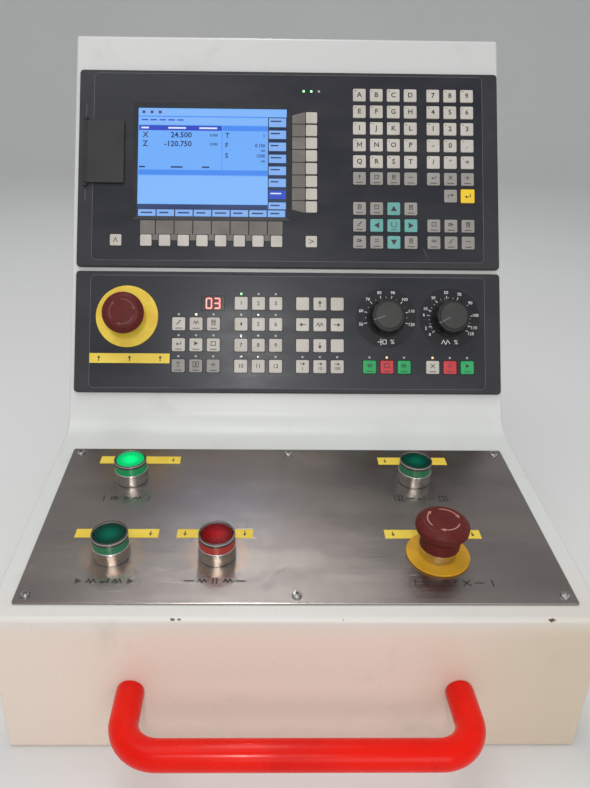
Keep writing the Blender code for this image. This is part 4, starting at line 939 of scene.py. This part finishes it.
def foil(name, matrix, low, high):
    """Thin foil on a bezel's flat front, open wherever the bezel is, with a painted highlight along its edge
    as a pale line.
    """
    left, right = FOIL_X
    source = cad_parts[f"{name}_bezel"]
    bm = bmesh.new()
    bm.from_mesh(source.data)
    bmesh.ops.transform(bm, matrix=matrix.inverted() @ source.matrix_world, verts=bm.verts)
    bmesh.ops.remove_doubles(bm, verts=bm.verts, dist=2e-6)
    hidden = [f for f in bm.faces if f.normal.z < 0.999 or abs(f.calc_center_median().z) > 3e-5]
    bmesh.ops.delete(bm, geom=hidden, context="FACES")
    for point, outward in (
        ((left, 0, 0), (-1, 0, 0)),
        ((right, 0, 0), (1, 0, 0)),
        ((0, low, 0), (0, -1, 0)),
        ((0, high, 0), (0, 1, 0)),
    ):
        everything = bm.verts[:] + bm.edges[:] + bm.faces[:]
        bmesh.ops.bisect_plane(bm, geom=everything, plane_co=point, plane_no=outward, clear_outer=True)
    grown = bmesh.ops.extrude_face_region(bm, geom=bm.faces[:], use_keep_orig=True)["geom"]
    lifted = [item for item in grown if isinstance(item, bmesh.types.BMVert)]
    bmesh.ops.translate(bm, verts=bm.verts, vec=(0.0, 0.0, PRINT_GAP))
    bmesh.ops.translate(bm, verts=lifted, vec=(0.0, 0.0, FOIL_THICKNESS))
    bmesh.ops.recalc_face_normals(bm, faces=bm.faces)
    for flat in bm.faces:
        flat.smooth = False
    register(to_object(f"{name}_foil", bm, matrix, FOIL), "console")
    # Painted highlight: a pale line all round the foil, where its edge catches the light.
    edge = Print(FOIL_TOP)
    outline = rectangle(right - left, high - low, 0.004, ((left + right) / 2, (low + high) / 2))
    edge.line(rounded(outline), 0.0004, closed=True)
    edge.piece(f"{name}_foil_edge", matrix, PALE_LINE)


def keycap(size):
    """Moulded cap with rounded corners and a faintly crowned top."""
    outline = rectangle(size, size, 0.0011)
    sections = [(rounded(outline, 3), KEY_FOOT), (rounded(outline, 3), KEY_RISE - 0.0006)]
    for depth, height in ((0.0002, -0.00018), (0.0007, 0.0), (0.0032, 0.00009)):
        sections.append((rounded(inset(outline, depth), 3), KEY_RISE + height))
    return loft(sections)


def single_key(name, matrix, place, finish, kind, turn=0, size=KEY):
    """A key that moves by itself, with its legend: captioned on the control panel."""
    body = f"{name}_button"
    set_out(f"{name}_keycap", keycap(size), [place], matrix, finish, body, (f"{name}_key",))
    legend = Print(KEY_INK)
    if matrix is CONTROL:
        legend.captioned(kind, place, KEY_SIGN_SIZE, turn)
    else:
        legend.sign(kind, place, 0.0072, turn)
    legend.piece(f"{name}_legend", matrix, DARK_INK, body)


def keyboard():
    cursor = [(LETTER_X[2], FUNCTION_Y[0]), (LETTER_X[2], FUNCTION_Y[2])]
    cursor += [(x, FUNCTION_Y[1]) for x in LETTER_X[1:]]
    grey = grid(COLUMNS, (SIGN_Y, *FUNCTION_Y[1:])) + grid(LETTER_X, FUNCTION_Y[:1])
    grey = [place for place in grey if place not in cursor]
    for name, size, finish, places, replaced in (
        ("letter_and_number_keys", KEY, IVORY, grid(COLUMNS, KEY_ROWS), "alphanumeric_keys"),
        ("function_keycaps", KEY, GREY, grey, "function_keys"),
        ("cursor_keycaps", KEY, TEAL, cursor, None),
        ("side_softkey_caps", SOFTKEY, IVORY, grid([SOFT_X], SOFT_ROWS), "side_softkeys"),
        ("bottom_softkey_caps", SOFTKEY, IVORY, grid(SOFT_COLUMNS, [FOOT_KEY_Y]), "bottom_softkeys"),
    ):
        set_out(name, keycap(size), places, DISPLAY, finish, replaced=(replaced,) if replaced else ())
    single_key("back", DISPLAY, (BACK_KEY_X, FOOT_KEY_Y), IVORY, "chevron", 0, SOFTKEY)
    single_key("forward", DISPLAY, (SOFT_X, FOOT_KEY_Y), IVORY, "chevron", 270, SOFTKEY)
    single_key("tab", DISPLAY, (NUMBER_X[1], EDIT_Y), GREY, "back", 180)
    single_key("input", DISPLAY, (NUMBER_X[2], EDIT_Y), YELLOW_KEY, "back", 0, INPUT_KEY)


def captions(layer, columns, y, signs, size):
    """A row of pictograms, each a name and the degrees it is turned by; a dash leaves its key bare."""
    for x, sign in zip(columns, signs.split()):
        kind, _, turn = sign.partition("/")
        if kind == "point":
            layer.sign(kind, (x, y), POINTER_SIZE, int(turn or 0))
        elif kind != "-":
            layer.captioned(kind, (x, y), size, int(turn or 0))


def keyboard_legends():
    legend = Print(KEY_INK)
    for y, letters in zip(KEY_ROWS, ("ABCD789", "EFGH456", "IJKL123", "MNOP-0.", "QRST/*=")):
        for x, letter in zip(COLUMNS, letters):
            if letter == "M":
                legend.sign("em", (x, y), 0.0064, width=0.12)
            else:
                legend.text(letter, (x, y), LETTER_SIZE)
    captions(legend, COLUMNS, SIGN_Y, "up frame page bar back cross plus", 0.0056)
    captions(legend, COLUMNS, FUNCTION_Y[0], "page frame point page", SIGN_SIZE)
    captions(legend, COLUMNS, FUNCTION_Y[1], "steps point/90 - point/270 frame chuck page", SIGN_SIZE)
    captions(legend, COLUMNS, FUNCTION_Y[2], "chuck hold/90 point/180 page wave steps bar", SIGN_SIZE)
    x, y = LETTER_X[2], FUNCTION_Y[1]
    legend.arc((x, y + 0.0010), 0.0028, 125, 415, 0.0006)
    legend.box(x - 0.0030, y - 0.0047, x + 0.0030, y - 0.0041)
    legend.piece("keyboard_legends", DISPLAY, DARK_INK)
    corners = Print(KEY_INK)
    marks = ((0.0016, 0.0007), (0.0006, 0.0014), (0.0011, 0.0011))
    for i, (x, y) in enumerate(grid(COLUMNS, KEY_ROWS)):
        wide, tall = marks[i % 3]
        left, top = x - 0.0048, y + 0.0048
        corners.box(left, top - tall, left + wide, top)
    corners.piece("key_corner_marks", DISPLAY, CORNER_INK)


def link_fields():
    """Fields that lead from the screen to its keys, with dark dividers between them."""
    margin, key, half_row, half_column, half_divider = 0.0006, SOFTKEY / 2, 0.0060, 0.00865, 0.0029
    left, right = SCREEN_AT[0] + 0.0800, SOFT_X - key - margin
    fields = Print(FOIL_TOP)
    for i, y in enumerate(SOFT_ROWS):
        low, high = y - half_row, y + half_row
        cut_high = high - (0.0036 if i == 0 else 0.0)
        cut_low = low + (0.0033 if i == 7 else 0.0)
        fields.fill([(left, cut_low), (right, low), (right, high), (left, cut_high)])
    low, high = FOOT_KEY_Y + key + margin, SCREEN_AT[1] - 0.0605
    for i, x in enumerate(SOFT_COLUMNS):
        start, end = x - (key if i == 0 else half_column), x + (key if i == 7 else half_column)
        fields.box(start, low, end, high)
    for a, b in zip(SOFT_COLUMNS, SOFT_COLUMNS[1:]):
        middle = (a + b) / 2
        fields.box(middle - half_divider, FOOT_KEY_Y + 0.0004, middle + half_divider, low - 0.0002)
    fields.piece("link_fields", DISPLAY, TAUPE)


def thin_lines():
    """The hinge side's groove above and below the flap, and a scratch in the foil."""
    groove = Print(FOIL_TOP)
    for low, high in ((0.0520, 0.0640), (-0.0340, -0.0225)):
        groove.line([(HINGE_X, low), (HINGE_X, high)], 0.0005)
    groove.piece("hinge_line", DISPLAY, PALE_LINE)
    worn = Print(FOIL_TOP)
    worn.line([(0.1342, -0.0790), (0.1362, -0.0846), (0.1392, -0.0900)], 0.0003)
    worn.piece("foil_scratch", DISPLAY, PALE_LINE)


def screen():
    """Coated glass with the picture of an operating page: plain blocks, axis letters and digits."""
    ground, pale, navy = tint(108, 170, 248), tint(126, 180, 248), tint(12, 24, 84)
    header, middle, dark = tint(22, 54, 190), tint(62, 134, 238), tint(6, 10, 46)
    white, button = tint(222, 234, 252), tint(128, 174, 240)
    wide, tall = (size / 100 for size in SCREEN_VIEW)
    left, top = SCREEN_AT[0] - 50 * wide, SCREEN_AT[1] + 50 * tall
    layer = 0.00004
    x, y = SCREEN_SLAB[0] / 2, SCREEN_SLAB[1] / 2
    page = Print(-BEZEL_THICKNESS, SCREEN_FRONT + BEZEL_THICKNESS, painted=True)
    page.box(SCREEN_AT[0] - x, SCREEN_AT[1] - y, SCREEN_AT[0] + x, SCREEN_AT[1] + y, ground)
    page.level, page.thickness = SCREEN_FRONT, 0.00003

    def block(x0, y0, x1, y1, colour, level=1):
        """A tile, in hundredths of the screen from its upper left corner."""
        page.box(left + wide * x0, top - tall * y1, left + wide * x1, top - tall * y0, colour, level * layer)

    def words(text, x, y, size, align="RIGHT"):
        page.text(text, (left + wide * x, top - tall * y), size, align, navy, 3 * layer)

    block(0, 0, 100, 7, pale)
    for i in range(3):
        block(1.5 + 5.5 * i, 1.2, 5.5 + 5.5 * i, 6.0, button, 2)
        block(2.6 + 5.5 * i, 2.4, 4.4 + 5.5 * i, 4.8, navy, 3)
    block(0, 7, 87.3, 7.8, middle)
    block(0.5, 8.6, 87.3, 14.9, pale)
    for i in range(5):
        block(2 + 6 * i, 10.2, 6.4 + 6 * i, 11.4, header, 2)
    block(0.5, 15.8, 56.3, 20.5, header)
    block(56.7, 15.8, 87.3, 20.5, middle)
    for x, width in ((2, 5), (20, 12), (41, 12)):
        block(x, 17.4, x + width, 18.9, white, 2)
    for letter, y, value in (("X", 24.8, "24.500"), ("Z", 33.0, "-120.750")):
        words(letter, 3, y, 0.0078, "LEFT")
        words(value, 36.0, y, 0.0078)
        words("0.000", 53.5, y, 0.0036)
    block(56.2, 21.6, 56.6, 56.8, middle, 2)
    for letter, y, value in (("T", 24.8, "1"), ("F", 34.0, "0.150"), ("S", 43.5, "1200")):
        words(letter, 58.5, y, 0.0070, "LEFT")
        words(value, 85.5, y, 0.0046)
    words("100", 85.5, 48.5, 0.0032)
    words("100", 85.5, 38.6, 0.0032)
    block(0.5, 56.8, 87.3, 61.6, middle)
    for x, width in ((0.8, 4), (22, 8), (43, 5)):
        block(x, 53.6, x + width, 55.0, navy, 2)
    block(0.5, 62.4, 87.3, 88.0, tint(126, 182, 250))
    block(0, 88.5, 87.3, 92.6, navy)
    block(0, 92.6, 100, 100, dark)
    for i in range(8):
        start = 12.4 * i
        block(0.7 + start, 93.4, 12.3 + start, 99.4, button, 2)
        block(2.4 + start, 95.6, start + (8.5 if i % 2 else 10.0), 96.9, navy, 3)
    block(87.4, 7.4, 100, 92.6, dark)
    lows = (8.2, 19.6, 30.8, 42.0, 53.0, 64.2, 75.0, 86.0)
    highs = (16.4, 27.4, 38.6, 49.6, 60.8, 71.8, 82.8, 92.2)
    for i, (low, high) in enumerate(zip(lows, highs)):
        back, letters = (header, white) if i == 6 else (button, navy)
        block(88.0, low, 99.6, high, back, 2)
        block(89.2, low + 2.2, 96.5 - i % 3, low + 3.4, letters, 3)
    page.piece("screen_picture", DISPLAY, screen_picture(), replaced=("screen_glass",))


def lights(name, places, finish, matrix=CONTROL, size=0.0020):
    set_out(name, slab(rectangle(size, size, 0.0003), 0.0, 0.00035, 0.00015, 2), places, matrix, finish)


def lights_on_fronts():
    lights("status_lights_on", grid(STATUS_X[:2], [STATUS_Y]), LED_GREEN, DISPLAY, 0.0022)
    lights("status_light_off", grid(STATUS_X[2:], [STATUS_Y]), LED_OFF, DISPLAY, 0.0022)
    rows = [y + LIGHT_ABOVE_KEY for y in CONTROL_ROWS]
    mode, user = grid(MODE_X, rows[1:]), grid(USER_X, rows)
    machine = grid(SPINDLE_X + FEED_X, rows[3:])
    warm, green, orange = mode[1:2], user[:1], [machine[1], machine[3]]
    dark = mode + user + grid(AXIS_X, rows[3:]) + machine
    lights("key_lights_off", [place for place in dark if place not in warm + green + orange], LED_OFF)
    lights("key_lights_warm", warm, LED_WARM)
    lights("key_lights_green", green, LED_GREEN)
    lights("key_lights_orange", orange, LED_ORANGE)


def panel_keys():
    light = grid(MODE_X, CONTROL_ROWS[1:3]) + grid(USER_X + AXIS_X, CONTROL_ROWS)
    set_out("panel_keycaps", keycap(KEY), light, CONTROL, IVORY, replaced=("panel_keys",))
    set_out("mode_keycaps_grey", keycap(KEY), grid(MODE_X, [CONTROL_FOOT_Y]), CONTROL, GREY)
    for name, x, finish, kind, turn in (
        ("spindle_left", SPINDLE_X[0], GREEN_KEY, "chuck", 180),
        ("spindle_stop", SPINDLE_X[1], RED_KEY, "frame", 0),
        ("spindle_right", SPINDLE_X[2], GREEN_KEY, "chuck", 0),
        ("reset", FEED_X[0], IVORY, "cross", 0),
        ("feed_stop", FEED_X[1], RED_KEY, "hold", 0),
        ("feed_start", FEED_X[2], GREEN_KEY, "play", 0),
    ):
        single_key(name, CONTROL, (x, CONTROL_FOOT_Y), finish, kind, turn)
    legend = Print(KEY_INK)
    for y, signs in zip(CONTROL_ROWS[1:], ("steps wave page", "back play frame", "lamp door plus")):
        captions(legend, MODE_X, y, signs, KEY_SIGN_SIZE)
    for i, place in enumerate(grid(USER_X, CONTROL_ROWS)):
        legend.text(str(i + 1), place, 0.0056, weight=0.012)
    left, centre, right = AXIS_X
    top, upper, lower, foot = CONTROL_ROWS
    legend.sign("wave", (centre, upper), 0.0080)
    for x, y, turn in ((centre, top, 0), (left, upper, 90), (right, upper, 270), (centre, lower, 180)):
        legend.sign("up", (x, y), 0.0080, turn)
    for x, count in ((left, "1"), (centre, "10"), (right, "100")):
        legend.text(count, (x, foot - 0.0020), 0.0044, weight=0.008)
        legend.sign("up", (x, foot + 0.0026), 0.0062, 270)
    legend.piece("panel_legends", CONTROL, DARK_INK)


def tool_number():
    """Seven-segment digits behind the red window."""
    digits = Print(0.00004)
    wide, tall, stroke = 0.0050, 0.0098, 0.0011
    top, middle, foot = tall / 2, 0.0, -tall / 2
    left, right = -wide / 2, wide / 2
    bars = {
        "a": ((left, top), (right, top)),
        "b": ((right, top), (right, middle)),
        "c": ((right, middle), (right, foot)),
        "d": ((left, foot), (right, foot)),
        "e": ((left, middle), (left, foot)),
        "f": ((left, top), (left, middle)),
        "g": ((left, middle), (right, middle)),
    }
    for lit, shift in (("abcdef", -0.0040), ("abcdg", 0.0040)):
        centre = Vector(WINDOW_AT) + Vector((shift, 0.0))
        for bar in lit:
            start, end = (centre + Vector(point) for point in bars[bar])
            short = (end - start).normalized() * stroke * 0.62
            digits.line([start + short, end - short], stroke)
    digits.piece("tool_digits", CONTROL, DIGIT_RED)


# Knobs


def fluted(radius, depth, count=144, flutes=12):
    """A circle with round flutes sunk into it."""
    points = []
    for i in range(count):
        angle = math.tau * i / count
        dip = depth * (0.5 - 0.5 * math.cos(angle * flutes)) ** 2
        points.append(((radius - dip) * math.cos(angle), (radius - dip) * math.sin(angle)))
    return points


def knob(name, pointer):
    """Fluted grip from stages of radius, flute depth and height, with a cap and a pointer."""
    place = shifted(CONTROL, *DIALS[name], 0.0)
    body = f"{name}_override"
    stages = (
        (0.0186, 0.0, 0.0005),
        (0.0190, 0.0, 0.0007),
        (0.0190, 0.0, 0.0014),
        (0.0187, 0.0, 0.0018),
        (0.0171, 0.0003, 0.0034),
        (0.0167, 0.0008, 0.0050),
        (0.0165, 0.0008, 0.0146),
        (0.0162, 0.0006, 0.0155),
        (0.0156, 0.0002, 0.0160),
        (0.0140, 0.0, 0.0162),
    )
    bm = loft([(fluted(radius, depth), height) for radius, depth, height in stages])
    rod(0.0060, -0.018, 0.0010, 24, bm)
    piece(f"{name}_knob_grip", bm, place, KNOB, body, (f"{name}_knob",), angle=40)
    cap = [(0.0, 0.0160, 0.0), (0.0128, 0.0160, 0.0), (0.0128, 0.0168, 0.0004), (0.0, 0.0169, 0.0)]
    piece(f"{name}_knob_cap", turned(rounded(cap, 3)), place, KNOB_CAP, body)
    mark = Print(0.0)
    for mark.level, near, far in ((0.01690, 0.0045, 0.0118), (0.01625, 0.0133, 0.0150)):
        mark.line([spun(pointer, near), spun(pointer, far)], 0.0013)
    mark.piece(f"{name}_knob_pointer", place, PALE_LINE, body)


def dial(name, labels, angles, steps, kind, turn):
    """Dark ring round a knob, with its scale, a pictogram and a percent sign."""
    place = shifted(CONTROL, *DIALS[name], 0.0)
    ring = [(0.0045, 0.00015), (0.0300, 0.00015), (0.0300, 0.00026), (0.0045, 0.00026)]
    piece(f"{name}_dial", turned(ring, 96), place, DIAL_BLACK)
    scale = Print(0.00027, 0.00003)
    near, short, long, lettering = 0.0198, 0.0208, 0.0222, 0.0258
    for label, angle in zip(labels, angles):
        scale.line([spun(angle, near), spun(angle, long)], 0.0006)
        scale.text(label, spun(angle, lettering), 0.0043, weight=0.006)
    for i in range(steps + 1):
        angle = angles[0] + (angles[-1] - angles[0]) * i / steps
        scale.line([spun(angle, near), spun(angle, short)], 0.00035)
    scale.sign(kind, (-0.0040, -0.0240), 0.0100, turn, 0.07)
    scale.text("%", (0.0060, -0.0240), 0.0062, weight=0.004)
    scale.piece(f"{name}_scale", place, WHITE_INK)


def dials():
    dial("spindle", [str(label) for label in range(50, 121, 10)], range(195, -16, -30), 14, "chuck", 180)
    labels = ("0", "2", "6", "10", "30", "50", "70", "90", "100", "110", "120")
    angles = (219.7, 203.4, 173, 159, 128.6, 97.4, 67.6, 36.5, 6.5, -21.5, -36.6)
    dial("feed", labels, angles, 22, "wave", 0)
    knob("spindle", 197)
    knob("feed", 207)


# Desk controls


def pushbutton(name, rim, core, glow, band):
    """Metal base, tinted guard ring and moving lens, from corners of radius, height and rounding."""
    place = shifted(DESK, *BUTTONS[name], LIFT)
    foot = -0.019 - DESK_GRIP
    base = [
        (0.0109, foot, 0.0),
        (0.0109, 0.0, 0.0),
        (0.01425, 0.0, 0.0002),
        (0.01425, 0.0111, 0.0006),
        (0.0122, 0.0111, 0.0),
        (0.0122, 0.0070, 0.0),
        (0.0091, 0.0070, 0.0),
        (0.0091, foot, 0.0),
    ]
    piece(f"{name}_button_base", turned(rounded(base)), place, SATIN, replaced=(f"{name}_button_bezel",))
    guard = [
        (0.01235, 0.01115, 0.0),
        (0.01385, 0.01115, 0.0002),
        (0.01385, 0.0206, 0.0007),
        (0.0123, 0.0206, 0.0003),
    ]
    smoky = smoky_guard(f"{name}_guard", place.translation, band)
    piece(f"{name}_button_guard", turned(rounded(guard)), place, smoky)
    lens = [
        (0.0, -0.0152, 0.0),
        (0.0087, -0.0152, 0.0),
        (0.0087, 0.0109, 0.0),
        (0.0118, 0.0109, 0.0),
        (0.0118, 0.0198, 0.0008),
        (0.0098, 0.0199, 0.0005),
        (0.0092, 0.0194, 0.0004),
        (0.0, 0.0201, 0.0),
    ]
    finish = lens_plastic(f"{name}_lens", place @ Vector((0.0, 0.0, 0.020)), rim, core, glow)
    body = f"{name}_button"
    piece(f"{name}_button_cap", turned(rounded(lens)), place, finish, body, (f"{name}_button_lens",), 40)


def pushbuttons():
    deep, green, band = (0, 56, 44), (0, 96, 74), (48, 122, 84)
    pushbutton("drive", (0, 150, 84), (4, 206, 112), 0.85, (30, 158, 96))
    pushbutton("door", deep, green, 0.0, band)
    pushbutton("start", deep, green, 0.0, band)
    pushbutton("hold", (112, 0, 2), (160, 2, 4), 0.0, (176, 56, 48))


def emergency_stop(name, place, height, disc, grip, disc_finish, arrow_finish):
    """Yellow disc, metal collar and mushroom head with a sunk ceiling round its boss."""
    rim, neck, socket, bore = 0.0200, 0.0150, 0.0091, 0.01125
    travel, clearance = 0.0055, 0.0006
    ceiling = height - 0.0145
    boss = ceiling - 0.0025
    ring = [(bore, 0.0, 0.0), (disc / 2, 0.0, 0.0), (disc / 2, 0.0015, 0.0005), (bore, 0.0015, 0.0002)]
    piece(f"{name}_label_disc", turned(rounded(ring, 3), 96), place, disc_finish, replaced=(f"{name}_disc",))
    base, foot, collar_top = 0.0018, -0.019 - grip, boss - travel - clearance
    collar = [
        (0.0109, foot, 0.0),
        (0.0109, base, 0.0),
        (0.0138, base, 0.0002),
        (0.0138, collar_top, 0.0007),
        (socket, collar_top, 0.0),
        (socket, foot, 0.0),
    ]
    piece(f"{name}_metal_collar", turned(rounded(collar)), place, SATIN, replaced=(f"{name}_collar",))
    skirt = max(collar_top - 0.0012, base + travel + clearance)
    inside = neck - 0.0008
    head = [
        (0.0, height - 0.0080, 0.0),
        (socket, height - 0.0080, 0.0),
        (socket, boss, 0.0),
        (socket + 0.0020, boss, 0.0),
        (socket + 0.0020, ceiling, 0.0),
        (inside, ceiling, 0.0),
        (inside, skirt, 0.0),
        (neck, skirt, 0.0002),
        (neck + 0.0003, height - 0.0142, 0.0022),
        (rim - 0.0002, height - 0.0090, 0.0016),
        (rim, height - 0.0042, 0.0030),
        (rim - 0.0044, height - 0.0006, 0.0040),
        (0.0110, height - 0.0003, 0.0),
        (0.0, height, 0.0),
    ]
    body = f"{name}_head"
    piece(f"{name}_mushroom", turned(rounded(head, 6), 80), place, MUSHROOM, body, (body,), 50)
    arrows = Print(height - 0.0004 * (0.0125 / 0.0130) ** 2 + 0.00003, 0.00010)
    for start in (20, 140, 260):
        arrows.arc((0.0, 0.0), 0.0118, start, start + 74, 0.0009, 14)
        tip = ((0.0102, 0.0006), (0.0134, 0.0006), (0.0118, -0.0028))
        arrows.fill([spun(start, *point) for point in tip])
    arrows.piece(f"{name}_arrows", place, arrow_finish, body)


def emergency_stops():
    desk, panel = shifted(DESK, *DESK_STOP_AT, LIFT), shifted(CONTROL, *STOP_AT, GAP)
    emergency_stop("desk_stop", desk, 0.0345, 0.0480, DESK_GRIP, DISC_YELLOW, ARROW_INK)
    emergency_stop("panel_stop", panel, 0.0285, 0.0610, BEZEL_THICKNESS + GAP, PALE_DISC, FAINT_ARROW)


def tapes(name, marks_name, matrix, level, strips, arrows, size, turn):
    """Yellow tapes with plain arrows printed on them."""
    film = Print(level, TAPE_THICKNESS)
    for strip in strips:
        film.box(*strip)
    film.piece(name, matrix, TAPE)
    marks = Print(level + TAPE_THICKNESS + 0.00001)
    for place in arrows:
        marks.sign("up", place, size, turn, 0.14)
    marks.piece(marks_name, matrix, DARK_INK)


def labels():
    low, high = (-0.162, -0.152), (-0.063, -0.052)
    strips = [(-0.1708, high, -0.0985), (0.0816, high, 0.1439)]
    strips += [(-0.1707, low, -0.1057), (-0.0912, low, -0.0315), (0.0724, low, 0.1483)]
    strips = [(left, y[0], right, y[1]) for left, y, right in strips]
    arrows = grid((-0.1050, 0.0880), [-0.0575])
    arrows += grid((-0.1120, -0.0380, 0.0790, -0.0850, 0.1420), [-0.157])
    level = PLATE_TOP + PRINT_GAP
    tapes("desk_tapes", "desk_tape_marks", DESK, level, strips, arrows, 0.0062, 180)
    arrows = grid((-0.1860, -0.1560, -0.1260), [-0.0265])
    strips = [(-0.1952, -0.0313, -0.1168, -0.0217)]
    tapes("panel_tape", "panel_tape_marks", CONTROL, FOIL_TOP, strips, arrows, 0.0066, 0)
    marks = Print(level)
    for x, y, signs in (
        (-0.1383, -0.1126, "one chuck play wave one"),
        (0.1103, -0.1118, "door bar back bar door"),
        (-0.1386, -0.2083, "play wave back wave play"),
        (-0.0586, -0.2080, "bar wave hold wave bar"),
        (0.1147, -0.2095, "one bar cross steps cross bar one"),
    ):
        kinds = signs.split()
        for i, kind in enumerate(kinds):
            marks.sign(kind, (x + 0.0094 * (i - (len(kinds) - 1) / 2), y), 0.0078, width=0.14)
    marks.piece("desk_marks", DESK, DARK_INK)


# Stage


def floor():
    """Pale floor that rises to a backdrop far behind."""
    profile = [(-6.0, 0.0), (3.0, 0.0)]
    for step in range(1, 17):
        turn = math.pi / 2 * step / 16
        profile.append((3.0 + 1.5 * math.sin(turn), 1.5 * (1 - math.cos(turn))))
    profile.append((4.5, 6.0))
    bm = bmesh.new()
    near, far = ([bm.verts.new((x, y, z)) for y, z in profile] for x in (-7.0, 7.0))
    for i in range(len(profile) - 1):
        bm.faces.new((near[i], far[i], far[i + 1], near[i + 1]))
    f = Finish("pale_floor", Roughness=0.8)
    f.surface(f.mix(f.noise(f.at(), 2.0, 3.0), (222, 222, 220), (229, 229, 227)))
    made = to_object("floor", bm, Matrix(), f.material)
    made.data.shade_smooth()


def lamps():
    """Soft light all round, two broad lamps, and narrow ones whose gleam falls on the desk plate."""
    world = bpy.data.worlds.new("soft_room")
    world.use_nodes = True
    background = world.node_tree.nodes["Background"].inputs
    background["Color"].default_value = (0.95, 0.97, 1.0, 1.0)
    background["Strength"].default_value = 0.47
    bpy.context.scene.world = world
    middle, plate = (0.0, 0.0, 0.2), (-0.034, -0.13, 0.133)
    for name, place, aim, size, power in (
        ("overhead", (-0.6, -0.4, 2.3), middle, (1.4, 1.2), 8.5),
        ("front", (0.5, -2.4, 0.9), middle, (1.4, 1.2), 11.8),
        ("streak", (-0.0586, 1.70, 1.95), plate, (0.03, 1.1), 4.0),
        ("ceiling", (-0.0545, 0.45, 2.1), plate, (0.30, 0.9), 6.0),
        ("glare", (-0.065, -1.19, 1.06), (-0.030, 0.05, 0.21), (0.05, 0.25), 4.0),
    ):
        data = bpy.data.lights.new(name, "AREA")
        data.shape, data.size, data.size_y, data.energy = "RECTANGLE", *size, power
        lamp = bpy.data.objects.new(name, data)
        lamp.location = place
        lamp.rotation_euler = (Vector(aim) - Vector(place)).to_track_quat("-Z", "Y").to_euler()
        bpy.context.scene.collection.objects.link(lamp)


def camera():
    data = bpy.data.cameras.new("viewpoint")
    data.sensor_width, data.lens, data.shift_x, data.clip_start = 36.0, 31.757, 0.0334, 0.01
    right = Vector((0.9998726, -0.01090323, 0.01165734))
    down = Vector((0.0060193, -0.41884586, -0.9080374))
    forward = Vector((0.01478317, 0.90799189, -0.41872687))
    turn = Matrix((right, -down, -forward)).transposed().to_4x4()
    viewpoint = bpy.data.objects.new("viewpoint", data)
    viewpoint.matrix_world = Matrix.Translation((-0.02797, -0.5966311, 0.4637253)) @ turn
    scene = bpy.context.scene
    scene.collection.objects.link(viewpoint)
    scene.camera = viewpoint
    scene.view_settings.view_transform = "Standard"


def main():
    dress_nodes()
    enclosure()
    handle()
    screws()
    foil("display", DISPLAY, -0.0935, 0.0965)
    foil("control", CONTROL, -0.0555, 0.0558)
    keyboard()
    keyboard_legends()
    link_fields()
    thin_lines()
    screen()
    lights_on_fronts()
    panel_keys()
    tool_number()
    dials()
    pushbuttons()
    emergency_stops()
    labels()
    floor()
    lamps()
    camera()
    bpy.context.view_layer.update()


main()
